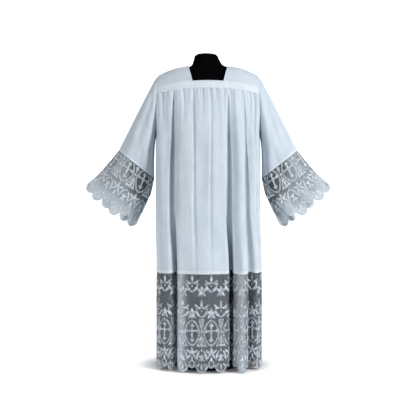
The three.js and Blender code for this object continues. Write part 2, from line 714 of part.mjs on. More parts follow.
// One ring of a sleeve or cuff, with outward directions in the ring's own plane
function sleeveRing(along, shares, mirror) {
  const turns = evenTurns(along, shares);
  const upper = sleevePoint(along, 0);
  const lower = sleevePoint(along, 0.5);
  const plane = new THREE.Vector3(0, 1, 0).cross(upper.clone().sub(lower)).normalize();
  const reach = 0.004;
  const ring = turns.map((turn) => {
    const tangent = sleevePoint(along, turn + reach).sub(sleevePoint(along, turn - reach));
    const out = tangent.cross(plane).normalize();
    return { point: sleevePoint(along, turn), out };
  });
  const ordered = mirror > 0 ? ring.reverse() : ring;
  return ordered.map(({ point, out }) => ({
    point: mirrored(point, mirror),
    out: mirrored(out, mirror),
  }));
}

const ringShares = (count) => Array.from({ length: count }, (_, i) => i / count);

function sleeve(mirror) {
  const shares = ringShares(SLEEVE_COLUMNS);
  const rows = SLEEVE_ROWS.map((along) => sleeveRing(Math.min(along, 1 - RING_SEAM), shares, mirror));
  rows[0].forEach((p) => (p.point.x += mirror * ARMHOLE_GAP));
  return wall(rows, CLOTH, true);
}

// The cuff: the lower part of the same lace
function cuffLace(mirror) {
  const shares = laceShares(REPEATS_PER_CUFF, CUFF_PATTERN_SHIFT).slice(0, -1);
  const edgeStart = 2 - EDGE_ROW_RISE / CUFF_LACE_DEPTH;
  const starts = [1 + RING_SEAM, CUFF_MIDDLE, edgeStart];
  const rows = starts.map((along) => sleeveRing(along, shares, mirror));
  const low = sleeveRing(2, shares, mirror);
  const high = sleeveRing(edgeStart, shares, mirror);
  const ordered = mirror > 0 ? [...shares].reverse() : shares;
  const edge = low.map((p, i) => {
    const repeat = ordered[i] * REPEATS_PER_CUFF - CUFF_PATTERN_SHIFT;
    const rise = scallopRise(repeat) / EDGE_ROW_RISE;
    return { point: p.point.clone().lerp(high[i].point, rise), out: p.out };
  });
  return wall([...rows, edge], LACE, true);
}

// The binding round the square neck: a flat strip on the cloth, mitred at the corners
function neckBinding() {
  const stations = [];
  const add = (point, out, away) => stations.push({ point, out, away });
  const level = BAND_LEVEL - HALF_SEAM;
  const downTheBand = (sideName, x) => {
    const below = contourPoint(sideName, level - BINDING.width, x);
    return below.sub(contourPoint(sideName, level, x)).normalize();
  };
  const bandRun = (sideName, from, to) => {
    for (let i = 1; i < NECK_COLUMNS; i++) {
      const x = lerp(from, to, i / NECK_COLUMNS);
      add(contourPoint(sideName, level, x), contourOut(sideName, level, x), downTheBand(sideName, x));
    }
  };
  const shoulderRun = (mirror, from, to) => {
    for (let i = 0; i <= SHOULDER_ROWS; i++) {
      const over = lerp(from, to, i / SHOULDER_ROWS);
      const edge = shoulderPoint(0, over);
      const away = shoulderPoint(NEXT_TO_NECK, over).sub(edge).normalize();
      const isCorner = i === 0 || i === SHOULDER_ROWS;
      if (isCorner) away.add(downTheBand(over < 0 ? "front" : "back", edge.x));
      const out = shoulderOut(0, over);
      add(mirrored(edge, mirror), mirrored(out, mirror), mirrored(away, mirror));
    }
  };
  shoulderRun(1, -1, 1);
  bandRun("back", SIDES.back.neckCornerX, -SIDES.back.neckCornerX);
  shoulderRun(-1, 1, -1);
  bandRun("front", -SIDES.front.neckCornerX, SIDES.front.neckCornerX);
  const corner = ({ point, out, away }, height, width) =>
    point.clone().addScaledVector(out, height).addScaledVector(away, width);
  const section = [
    [SEAM, 0],
    [SEAM + BINDING.height, 0],
    [SEAM + BINDING.height, BINDING.width],
    [SEAM, BINDING.width],
  ];
  const positions = [];
  const triangles = [];
  stations.forEach((station) =>
    section.forEach(([height, width]) => positions.push(...corner(station, height, width).toArray())),
  );
  const count = stations.length;
  const sides = section.length;
  for (let i = 0; i < count; i++) {
    for (let k = 0; k < sides; k++) {
      const a = i * sides + k;
      const b = i * sides + ((k + 1) % sides);
      const c = ((i + 1) % count) * sides + ((k + 1) % sides);
      const d = ((i + 1) % count) * sides + k;
      triangles.push(a, b, c, a, c, d);
    }
  }
  return bufferGeometry(positions, triangles);
}

// One level section of the form
function formRing({ z, halfWidth, halfDepth, power, lean = 0 }) {
  return ringShares(FORM_COLUMNS).map((share) => {
    const across = Math.cos(2 * Math.PI * share);
    const deep = Math.sin(2 * Math.PI * share);
    const x = lean + halfWidth * Math.sign(across) * Math.pow(Math.abs(across), 2 / power);
    const y = halfDepth * Math.sign(deep) * Math.pow(Math.abs(deep), 2 / power);
    return new THREE.Vector3(x, y, z);
  });
}

// The form's shoulders follow the shoulder line, just inside the cloth
function formTrunk() {
  const { clearance, stations, halfDepths, powers, endInset } = FORM_SHOULDER;
  const shoulders = stations.map((across) => {
    const { x, z } = shoulderLine(across);
    return {
      z: z - CLOTH - clearance,
      halfWidth: Math.min(x, SHOULDER_X - endInset),
      halfDepth: lerp(...halfDepths, across),
      power: lerp(...powers, across),
    };
  });
  const sections = [...FORM_SECTIONS, ...shoulders].sort((a, b) => b.z - a.z);
  return stack(sections.map(formRing));
}

// A round plate or post
function disc(radius, bottom, top, x = 0) {
  const geometry = new THREE.CylinderGeometry(radius, radius, top - bottom, DISC_SIDES);
  geometry.rotateX(Math.PI / 2);
  geometry.translate(x, 0, (top + bottom) / 2);
  return geometry;
}

const cloth = new THREE.MeshStandardMaterial({ color: 0xdde9f4, roughness: 0.85, metalness: 0 });
const lace = new THREE.MeshStandardMaterial({ color: 0xc9d3de, roughness: 0.9, metalness: 0 });
const blackJersey = new THREE.MeshStandardMaterial({ color: 0x060606, roughness: 0.95, metalness: 0 });
const blackSteel = new THREE.MeshStandardMaterial({ color: 0x0b0b0c, roughness: 0.5, metalness: 0.6 });

const alb = new THREE.Group();
function add(name, geometry, material) {
  const mesh = new THREE.Mesh(geometry, material);
  mesh.name = name;
  alb.add(mesh);
}

for (const sideName of ["front", "back"]) {
  add(`${sideName}_band`, band(sideName), cloth);
  add(`${sideName}_panel`, panel(sideName), cloth);
  add(`${sideName}_hem_lace`, hemLace(sideName), lace);
}
for (const [name, mirror] of [["right", 1], ["left", -1]]) {
  add(`${name}_shoulder`, shoulder(mirror), cloth);
  add(`${name}_sleeve`, sleeve(mirror), cloth);
  add(`${name}_cuff_lace`, cuffLace(mirror), lace);
}
add("neck_binding", neckBinding(), cloth);
add("form_trunk", formTrunk(), blackJersey);
const capBottom = FORM_TOP + SEAM;
add("form_neck_cap", disc(NECK_CAP.radius, capBottom, capBottom + NECK_CAP.height, NECK_LEAN), blackSteel);
add("form_post", disc(POST.radius, BASE_PLATE.height + SEAM, POST.top), blackSteel);
add("form_base_plate", disc(BASE_PLATE.radius, 0, BASE_PLATE.height), blackSteel);

export default alb;
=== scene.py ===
# A lace alb on a full-length black display form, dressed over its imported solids.
# Sizes are in millimetres until make_piece turns them into metres. X runs to the viewer's right,
# the front of the garment faces -Y, Z is up and the floor is Z = 0.
import math

import bpy
import numpy as np
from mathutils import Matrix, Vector


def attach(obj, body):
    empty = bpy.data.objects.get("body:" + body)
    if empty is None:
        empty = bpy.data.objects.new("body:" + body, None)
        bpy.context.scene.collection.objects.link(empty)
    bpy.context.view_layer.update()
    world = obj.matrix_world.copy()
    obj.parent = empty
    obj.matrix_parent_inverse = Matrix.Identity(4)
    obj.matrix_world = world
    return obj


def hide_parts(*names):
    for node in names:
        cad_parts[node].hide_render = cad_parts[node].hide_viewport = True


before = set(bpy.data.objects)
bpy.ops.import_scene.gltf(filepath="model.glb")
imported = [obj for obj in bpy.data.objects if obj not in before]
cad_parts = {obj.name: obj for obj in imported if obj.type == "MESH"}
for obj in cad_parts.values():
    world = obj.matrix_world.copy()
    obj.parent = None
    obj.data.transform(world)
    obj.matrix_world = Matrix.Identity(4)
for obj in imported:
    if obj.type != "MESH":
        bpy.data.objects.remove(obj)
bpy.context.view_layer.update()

METRE = 0.001  # one millimetre

# Driving dimensions of the cloth, as in the solids
CLOTH = 1.6
SEAM = 0.3
HALF_SEAM = SEAM / 2
SIDE_INSET = 0.0004
HEM_LOW = 4
HEM_LACE_DEPTH = 466
CUFF_LACE_DEPTH = 240
REPEATS_PER_PANEL = 13
REPEATS_PER_CUFF = 6
HEM_PATTERN_SHIFT = 0.45
CUFF_PATTERN_SHIFT = 0.75

SHOULDER_LEVEL = 1454
BAND_LEVEL = 1384
GATHER_LEVEL = 1353
UNDERARM_LEVEL = 1150
FOLD_MIDDLE_LEVEL = 800
LACE_LEVEL = HEM_LOW + HEM_LACE_DEPTH

SIDE_HALF_WIDTH = 263
UNDERARM_X = 262
SHOULDER_X = 248
ARMHOLE_HALF_DEPTH = 72
ARMHOLE_MIDDLE = (SHOULDER_LEVEL + UNDERARM_LEVEL) / 2
ARMHOLE_HALF_HEIGHT = (SHOULDER_LEVEL - UNDERARM_LEVEL) / 2

NECK_SIDE_X = 99
NECK_SIDE_Z = 1500
SHOULDER_BULGE = 9
NECK_CORNER_ANGLE = math.radians(80)

BODY_LEVELS = [1390, 1353, 1250, 1150, 900, 700, 475, 0]
CONTOUR_POWERS = [2.4, 2.4, 2.4, 2.4, 2.7, 3, 3.2, 3.2]
HALF_DEPTHS = {
    "front": [98, 108, 138, 158, 184, 196, 206, 214],
    "back": [84, 97, 120, 142, 166, 178, 188, 196],
}

# troughs: place at the gathers, in the middle and at the hem, then mouths and depths there
# swells: place, half-width and height at the same three levels
# bows: how much higher a level line runs at the centre, at the levels of BOW_LEVELS
BOW_LEVELS = [1390, 1384, 1353, 1150, 0]
SIDES = {
    "front": {
        "facing": -1,
        "neck_corner": 76,
        "bows": [29, 29, 25, 0, 0],
        "troughs": [
            ((-168, -178, -172), (18, 52, 66), (7, 28, 88)),
            ((-70, -66, -64), (16, 28, 30), (6, 9, 2)),
            ((18, 12, 8), (16, 28, 34), (5, 5, 3)),
            ((96, 104, 108), (18, 50, 66), (8, 30, 98)),
            ((178, 196, 214), (16, 38, 70), (6, 22, 42)),
            ((236, 262, 290), (14, 26, 34), (4, 10, 14)),
        ],
        "swells": [(-22, 112, (0, 8, 20)), (156, 40, (2, 16, 36)), (-240, 48, (0, 6, 6))],
        "ripple": (23, 0.4),
    },
    "back": {
        "facing": 1,
        "neck_corner": 80,
        "bows": [56, 56, 52, 0, 0],
        "troughs": [
            ((-200, -226, -238), (14, 28, 36), (5, 16, 34)),
            ((-118, -136, -144), (18, 50, 60), (7, 28, 78)),
            ((-22, -18, -14), (16, 42, 54), (6, 24, 64)),
            ((64, 60, 58), (16, 28, 32), (5, 10, 6)),
            ((122, 134, 142), (18, 50, 62), (7, 30, 82)),
            ((206, 228, 240), (14, 28, 36), (5, 15, 30)),
        ],
        "swells": [(-80, 56, (0, 8, 18)), (64, 66, (0, 8, 18)), (190, 40, (0, 6, 14))],
        "ripple": (24, 2.1),
    },
}

# Waves under the band, lower and sooner gone than on the solids
RIPPLE_HEIGHT = 2.0
RIPPLE_AT_SEAM = 0.7
RIPPLE_RISE = 26
RIPPLE_FADE = 85
RIPPLE_FADE_SPREAD = 60
RIPPLE_UNEVEN = [(2.4, 43, 1), (1.3, 19, 2)]  # size, length, share of the phase
RIPPLE_STRENGTH = {"least": 0.3, "spread": 0.35, "length": 31, "phase": 3}
RIPPLE_FADE_LENGTH = 27
EDGE_CALM = 14
TROUGH_RELEASE = 60
STEEPEST_SWING = 2.25
LEAST_DEPTH = 0.01
HEM_LIFT = 0.15
LIFT_FROM = 900
LIFT_FULL = 300
HEM_LEAN = 6
HEM_LEAN_FROM = 760

# Sleeve stations from the armhole (0) to the lace seam (1) and the scallops (2), right side
SLEEVE_ALONG = [0, 0.1, 0.3, 0.6, 1, 1.35, 1.7, 2]
SLEEVE_STATIONS = {
    "up_x": [248, 270, 313, 376, 450, 501, 552, 629],
    "up_z": [1454, 1427, 1346, 1222, 1075, 1014, 956, 890],
    "low_x": [262, 267, 270, 272, 271, 286, 324, 371],
    "low_z": [1150, 1126, 1082, 1018, 936, 860, 776, 682],
    "half_depth": [72, 79, 81, 74, 58, 50, 42, 34],
    "pinch": [0, 0, 0.05, 0.1, 0.2, 0.4, 0.6, 0.8],
    "bow": [0, 0, 0, 0, 2, 6, 12, 18],
}
ARMHOLE_GAP = 0.5
RING_SEAM = HALF_SEAM / CUFF_LACE_DEPTH
SLEEVE_FOLD_RISE = 0.5  # station by which a fold may stand full
# Sleeve folds: turn, half-width, height, where it begins
SLEEVE_FOLDS = [
    (0.17, 0.06, 4, 0.1),
    (0.27, 0.06, -8, 0.15),
    (0.36, 0.06, 7, 0.2),
    (0.43, 0.05, -7, 0.2),
    (0.6, 0.07, -7, 0.2),
    (0.7, 0.06, 6, 0.15),
    (0.82, 0.06, -5, 0.1),
]

# Scalloped edge within one repeat (0 is the middle of the large scallop): centre, half-width, drop
LARGE_SCALLOP = (0, 0.325, 38)
SMALL_SCALLOP = (0.5, 0.175, 17)

# Level sections of the form: z, half-width, half-depth, power, lean
FORM_SECTIONS = [
    (1551, 57, 56, 2.2, -9),
    (1547, 59, 58, 2.2, -9),
    (1530, 65, 59, 2.2, -7),
    (1507, 76, 60, 1.8, -4),
    (1497, 94, 61, 1.3, 0),
    (1436, 246, 74, 2, 0),
    (1410, 246, 84, 2.2, 0),
    (1384, 240, 90, 2.2, 0),
    (1330, 224, 98, 2.2, 0),
    (1250, 202, 107, 2.2, 0),
    (1150, 190, 110, 2.2, 0),
    (1020, 176, 98, 2.2, 0),
    (880, 190, 104, 2.2, 0),
    (700, 210, 96, 2.2, 0),
    (480, 242, 88, 2.5, 0),
    (320, 246, 86, 2.6, 0),
    (26, 248, 86, 2.6, 0),
    (20, 243, 80, 2.6, 0),
]
FORM_SHOULDER_STATIONS = [0.15, 0.3, 0.5, 0.7, 0.85, 1]
FORM_CLEARANCE = 0.7
FORM_TOP = 1551
FORM_BOTTOM = 20
NECK_LEAN = -9

# How finely the cloth is divided
PANEL_COLUMNS = 320
CONTOUR_STEPS = 400
CURVE_STEP = 2
FOLD_POINTS = 60
RING_STEPS = 480
SAMPLER_COLUMNS = 480
SAMPLER_ROW = 6
SAMPLER_OVER_SEAM = 24
CUFF_SAMPLER_STATIONS = (0.9, 2, 56)


# Shapes of the cloth: whole arrays of points, from the sheet's own shares and levels


def smooth_step(value, low, high):
    """3t^2 - 2t^3, where t runs from 0 at low to 1 at high"""
    share = np.clip((np.asarray(value, float) - low) / (high - low), 0, 1)
    return share * share * (3 - 2 * share)


def bump_at(distance, half_width):
    """(1 + cos(pi d / half-width)) / 2, and 0 beyond the half-width"""
    share = np.clip(np.abs(distance) / half_width, 0, 1)
    return (1 + np.cos(np.pi * share)) / 2


def from_table(keys, values, at):
    """Straight lines between the values, at keys that fall or rise"""
    order = np.argsort(keys)
    return np.interp(at, np.asarray(keys, float)[order], np.asarray(values, float)[order])


def through_levels(values, level):
    """A fold's value at a level: straight from gathers to middle, eased from middle to hem"""
    top, middle, hem = values
    if level > FOLD_MIDDLE_LEVEL:
        share = (level - FOLD_MIDDLE_LEVEL) / (GATHER_LEVEL - FOLD_MIDDLE_LEVEL)
        return middle + (top - middle) * min(share, 1)
    share = smooth_step(FOLD_MIDDLE_LEVEL - level, 0, FOLD_MIDDLE_LEVEL - LACE_LEVEL)
    return middle + (hem - middle) * float(share)


def armhole_edge(level):
    """x of the armhole at a level, and its depth: an upright ellipse that leans in above"""
    if level <= UNDERARM_LEVEL:
        return SIDE_HALF_WIDTH, 0.0
    rise = min((level - UNDERARM_LEVEL) / (SHOULDER_LEVEL - UNDERARM_LEVEL), 1)
    height = (level - ARMHOLE_MIDDLE) / ARMHOLE_HALF_HEIGHT
    depth = ARMHOLE_HALF_DEPTH * math.sqrt(max(0, 1 - height * height))
    return UNDERARM_X + (SHOULDER_X - UNDERARM_X) * rise, depth


def half_depth_at(side_name, level):
    return float(from_table(BODY_LEVELS, HALF_DEPTHS[side_name], level))


def power_at(level):
    """How square the contour is: 2 is an ellipse"""
    return float(from_table(BODY_LEVELS, CONTOUR_POWERS, level))


def half_width_at(side_name, level):
    """The contour's half-width, so that it passes through the armhole's edge"""
    x, depth = armhole_edge(level)
    power = power_at(level)
    share = (depth / half_depth_at(side_name, level)) ** power
    return x / (1 - share) ** (1 / power)


def height_at(side_name, level, x):
    """level + bow (1 - (x / edge)^2): a level line bows up towards the centre"""
    bow = float(from_table(BOW_LEVELS, SIDES[side_name]["bows"], level))
    share = np.clip(x / armhole_edge(level)[0], -1, 1)
    return level + bow * (1 - share * share)


def contour_point(side_name, level, x):
    """|x / a|^p + |y / b|^p = 1, at each x"""
    power = power_at(level)
    share = (np.abs(x) / half_width_at(side_name, level)) ** power
    depth = half_depth_at(side_name, level) * np.maximum(0, 1 - share) ** (1 / power)
    y = SIDES[side_name]["facing"] * depth
    return np.stack([x, y, height_at(side_name, level, x)], -1)


def contour_out(side_name, level, x):
    """Level outward direction of the plain contour at each x"""
    reach = 0.5
    a = contour_point(side_name, level, x - reach)
    b = contour_point(side_name, level, x + reach)
    facing = SIDES[side_name]["facing"]
    out = np.stack([-facing * (b - a)[..., 1], facing * (b - a)[..., 0], 0 * x], -1)
    return unit(out)


def unit(vectors):
    """Each vector over its own length"""
    return vectors / np.maximum(np.linalg.norm(vectors, axis=-1, keepdims=True), 1e-9)


def running_length(x, y):
    """Length along a line of points, from its first"""
    steps = np.hypot(np.diff(x), np.diff(y))
    return np.concatenate([[0], np.cumsum(steps)])


def outward(x, y):
    """(dy, -dx) over its length, which faces out where the line runs to the viewer's right"""
    dx, dy = np.gradient(x), np.gradient(y)
    length = np.maximum(np.hypot(dx, dy), 1e-9)
    return dy / length, -dx / length


def plain_contour(side_name, level):
    """The superellipse with its swells: along (from the centre), x, y and outward direction"""
    half_depth = half_depth_at(side_name, level)
    half_width = half_width_at(side_name, level)
    power = power_at(level)
    start = math.asin((armhole_edge(level)[1] / half_depth) ** (power / 2))
    turn = np.linspace(math.pi - start, start, CONTOUR_STEPS + 1)
    across = np.cos(turn)
    x = half_width * np.sign(across) * np.abs(across) ** (2 / power)
    y = -half_depth * np.abs(np.sin(turn)) ** (2 / power)
    along = running_length(x, y)
    along -= along[-1] / 2
    out_x, out_y = outward(x, y)
    out = np.zeros_like(x)
    for at, swell_width, heights in SIDES[side_name]["swells"]:
        out += through_levels(heights, level) * bump_at(along - at, swell_width)
    return along, x + out_x * out, y + out_y * out, out_x, out_y


def trough_outline(swing):
    """A line whose direction is swing * sin(2 pi distance), as sums of its steps"""
    angle = swing * np.sin(2 * np.pi * (np.arange(FOLD_POINTS) + 0.5) / FOLD_POINTS)
    across = np.concatenate([[0], np.cumsum(np.cos(angle))]) / FOLD_POINTS
    inward = np.concatenate([[0], np.cumsum(np.sin(angle))]) / FOLD_POINTS
    return across, inward


SWINGS = np.linspace(0, STEEPEST_SWING, 400)
STEEPNESSES = np.array([o[1][FOLD_POINTS // 2] / o[0][-1] for o in map(trough_outline, SWINGS)])


def trough(mouth, depth):
    """The trough outline with this mouth and depth, centred on its mouth"""
    across, inward = trough_outline(np.interp(depth / mouth, STEEPNESSES, SWINGS))
    scale = mouth / across[-1]
    return across * scale - mouth / 2, inward * scale


def ripple_at(side_name, level, along):
    """Uneven sine waves, 1 repeat in the spacing, that die out below the gathers as a bell"""
    below = GATHER_LEVEL - level
    spacing, phase = SIDES[side_name]["ripple"]
    uneven = sum(size * np.sin(along / length + k * phase) for size, length, k in RIPPLE_UNEVEN)
    wave = np.sin(2 * np.pi * along / spacing + uneven)
    s = RIPPLE_STRENGTH
    strength = s["least"] + s["spread"] * (1 + np.sin(along / s["length"] + s["phase"] * phase))
    grown = float(smooth_step(below, 0, RIPPLE_RISE))
    rise = RIPPLE_AT_SEAM + (RIPPLE_HEIGHT - RIPPLE_AT_SEAM) * grown
    fade = RIPPLE_FADE + RIPPLE_FADE_SPREAD * np.sin(along / RIPPLE_FADE_LENGTH + phase)
    return wave * strength * rise * np.exp(-((below / fade) ** 2))


def level_line(side_name, level, extra=None):
    """The cloth's line at a level: x, y, outward direction, depth in a fold, place, cloth length"""
    along, *columns = plain_contour(side_name, level)
    end = along[-1]
    release = float(smooth_step(GATHER_LEVEL - level, 0, TROUGH_RELEASE))
    places, inwards = [np.array([-end])], [np.zeros(1)]
    last = -end

    def stretch_to(target):
        steps = max(1, round((target - last) / CURVE_STEP))
        places.append(np.linspace(last, target, steps + 1)[1:])
        inwards.append(np.zeros(steps))

    for centres, mouths, depths in SIDES[side_name]["troughs"]:
        centre = through_levels(centres, level)
        mouth = through_levels(mouths, level)
        depth = through_levels(depths, level) * release + LEAST_DEPTH
        stretch_to(centre - mouth / 2)
        across, inward = trough(mouth, depth)
        places.append(centre + across[1:])
        inwards.append(inward[1:])
        last = centre + mouth / 2
    stretch_to(end)
    place, inward = np.concatenate(places), np.concatenate(inwards)
    x, y, foot_x, foot_y = (np.interp(place, along, column) for column in columns)
    x, y = x - foot_x * inward, y - foot_y * inward
    out_x, out_y = outward(x, y)
    calm = smooth_step(end - np.abs(place), 0, EDGE_CALM)
    out = ripple_at(side_name, level, place) * calm
    if extra is not None:
        out = out + extra(side_name, level, place) * calm
    x, y = x + out_x * out, y + out_y * out
    return x, y, out_x, out_y, inward, place, running_length(x, y)


def points_on_level(side_name, level, shares, extra=None):
    """Points at shares of the cloth's own width: (n, 3) points and level outward directions"""
    *columns, cloth = level_line(side_name, level, extra)
    target = np.clip(shares, SIDE_INSET, 1 - SIDE_INSET) * cloth[-1]
    x, y, out_x, out_y, inward, _ = (np.interp(target, cloth, column) for column in columns)
    lift = HEM_LIFT * inward * smooth_step(-level, -LIFT_FROM, -LIFT_FULL)
    lean = HEM_LEAN * smooth_step(-level, -HEM_LEAN_FROM, -LACE_LEVEL)
    turn = -SIDES[side_name]["facing"]
    points = np.stack([turn * x + lean, turn * y, height_at(side_name, level, x) + lift], -1)
    out = unit(np.stack([turn * out_x, turn * out_y, 0 * x], -1))
    return points, out


def stacked(rows):
    """Rows of (points, directions) as two whole arrays"""
    return np.stack([r[0] for r in rows]), np.stack([r[1] for r in rows])


def sleeve_point(along, turn):
    """The right sleeve's ring: turn 0 is its upper crease, then the front, with its soft folds"""
    value = {k: np.interp(along, SLEEVE_ALONG, v) for k, v in SLEEVE_STATIONS.items()}
    angle = 2 * np.pi * turn
    half_x = (value["up_x"] - value["low_x"]) / 2
    half_z = (value["up_z"] - value["low_z"]) / 2
    depth = np.sin(angle) * np.abs(np.sin(angle)) ** value["pinch"]
    fade = smooth_step(along, 0, SLEEVE_FOLD_RISE)
    out = 0
    for at, half_width, height, start in SLEEVE_FOLDS:
        out = out + height * smooth_step(along, start, 1) * fade * bump_at(turn - at, half_width)
    direction = np.where(np.sin(angle) < 0, -1, 1)
    beyond = value["bow"] * np.sin(angle) ** 2 / np.hypot(half_x, half_z)
    x = (value["up_x"] + value["low_x"]) / 2 + half_x * np.cos(angle) + half_z * beyond
    y = -(value["half_depth"] * depth + direction * out)
    z = (value["up_z"] + value["low_z"]) / 2 + half_z * np.cos(angle) - half_x * beyond
    return np.stack([x, y, z], -1)


def sleeve_ring(along, shares, extra=None):
    """One ring at shares of its length: points and directions in the ring's own plane"""
    turns = np.linspace(0, 1, RING_STEPS + 1)
    ring = sleeve_point(along, turns)
    lengths = np.concatenate([[0], np.cumsum(np.linalg.norm(np.diff(ring, axis=0), axis=1))])
    turn = np.interp(np.mod(shares, 1) * lengths[-1], lengths, turns)
    reach = 0.004
    tangent = sleeve_point(along, turn + reach) - sleeve_point(along, turn - reach)
    across = sleeve_point(along, 0.0) - sleeve_point(along, 0.5)
    plane = unit(np.cross([0, 1, 0], across))
    out = unit(np.cross(tangent, plane))
    points = sleeve_point(along, turn)
    if extra is not None:
        points = points + out * extra(along, turn)[:, None]
    return points, out


def shoulder_line(across):
    """x and z of the shoulder line between neck (0) and armhole (1)"""
    x = NECK_SIDE_X + (SHOULDER_X - NECK_SIDE_X) * across
    z = NECK_SIDE_Z + (SHOULDER_LEVEL - NECK_SIDE_Z) * across
    return x, z + SHOULDER_BULGE * np.sin(np.pi * across)


def shoulder_point(across, over):
    """The right shoulder piece: across from neck to armhole, over from front (-1) to back (1)"""
    level = BAND_LEVEL + HALF_SEAM
    is_front = over < 0
    feet = {}
    for side_name in SIDES:
        corner = SIDES[side_name]["neck_corner"]
        foot_x = corner + (armhole_edge(level)[0] - corner) * across
        feet[side_name] = contour_point(side_name, level, foot_x)
    foot = np.where(is_front[..., None], feet["front"], feet["back"])
    armhole_angle = math.acos((BAND_LEVEL - ARMHOLE_MIDDLE) / ARMHOLE_HALF_HEIGHT)
    angle = NECK_CORNER_ANGLE + (armhole_angle - NECK_CORNER_ANGLE) * across
    swept = angle * np.abs(over)
    drop = (1 - np.cos(swept)) / (1 - np.cos(angle))
    x, z = shoulder_line(across)
    y = foot[..., 1] * np.sin(swept) / np.sin(angle)
    return np.stack([x + (foot[..., 0] - x) * drop, y, z + (foot[..., 2] - z) * drop], -1)


def shoulder_out(across, over):
    """Outward direction of the shoulder piece, level along both bands"""
    reach = 0.01
    low, high = np.clip(across - reach, 0, 1), np.clip(across + reach, 0, 1)
    along_neck = shoulder_point(high, over) - shoulder_point(low, over)
    front, back = np.clip(over - reach, -1, 1), np.clip(over + reach, -1, 1)
    front = np.where(over > 0, np.maximum(front, 0), front)
    back = np.where(over < 0, np.minimum(back, -1e-6), back)
    over_shoulder = shoulder_point(across, back) - shoulder_point(across, front)
    out = unit(np.cross(along_neck, over_shoulder))
    at_band = np.abs(over) == 1
    out[at_band, 2] = 0
    return unit(out)


def scallop_rise(repeat):
    """How far the lace's edge is above the tip of a large scallop: two ellipses and a notch"""
    place = np.mod(repeat, 1)
    _, large_width, large_drop = LARGE_SCALLOP
    small_centre, small_width, small_drop = SMALL_SCALLOP
    from_large = np.minimum(place, 1 - place) / large_width
    from_small = np.clip((place - small_centre) / small_width, -1, 1)
    large = large_drop * (1 - np.sqrt(np.maximum(0, 1 - from_large**2)))
    small = large_drop - small_drop * np.sqrt(1 - from_small**2)
    return np.where(from_large <= 1, large, small)


# Creases that the solids are too coarse for, listed for every side: place at the upper and
# lower end, upper and lower level, half-width and height
PANEL_CREASES = {
    "front": [
        (-242, -246, 1330, 520, 22, 7.0),
        (-172, -180, 1345, 540, 30, -13.0),
        (-136, -128, 1310, 540, 24, 8.0),
        (-78, -60, 1335, 960, 16, -3.6),
        (-94, -88, 1160, 500, 32, 5.5),
        (-36, -14, 1270, 500, 36, -6.0),
        (22, 42, 1200, 500, 36, 6.5),
        (100, 104, 1345, 540, 30, -11.0),
        (150, 151, 1345, 520, 23, 11.0),
        (196, 199, 1320, 540, 21, -9.0),
        (240, 246, 1320, 520, 19, 7.0),
        (-236, -262, 1300, 960, 13, 3.0),
        (-214, -222, 1290, 800, 14, -3.2),
        (-135, -128, 1310, 740, 17, -3.0),
        (-108, -98, 1280, 620, 18, 2.4),
        (-92, -84, 1140, 480, 20, -2.0),
        (60, 44, 1310, 900, 16, -3.0),
        (78, 72, 1230, 580, 14, 2.2),
        (130, 126, 1300, 880, 12, 2.4),
        (206, 226, 1290, 880, 13, 2.4),
        (250, 290, 1240, 700, 12, 2.2),
    ],
    "back": [
        (-238, -244, 1330, 520, 22, 5.0),
        (-188, -190, 1310, 560, 24, -8.0),
        (-128, -136, 1340, 560, 31, -12.0),
        (-82, -84, 1300, 500, 28, 8.0),
        (-20, -18, 1340, 560, 30, -10.0),
        (44, 46, 1250, 500, 34, 7.0),
        (128, 134, 1340, 560, 31, -12.0),
        (176, 182, 1320, 520, 24, 9.0),
        (218, 222, 1310, 600, 20, -4.5),
        (-232, -268, 1300, 880, 13, 3.0),
        (-176, -190, 1310, 680, 15, -3.0),
        (-92, -96, 1310, 740, 17, 2.6),
        (-64, -70, 1240, 540, 20, -2.4),
        (14, 18, 1300, 620, 19, 2.4),
        (36, 30, 1200, 500, 18, -2.0),
        (92, 100, 1320, 800, 14, -2.8),
        (164, 176, 1300, 580, 14, 2.8),
        (182, 206, 1240, 760, 13, -2.2),
        (238, 268, 1290, 860, 13, 2.6),
    ],
}
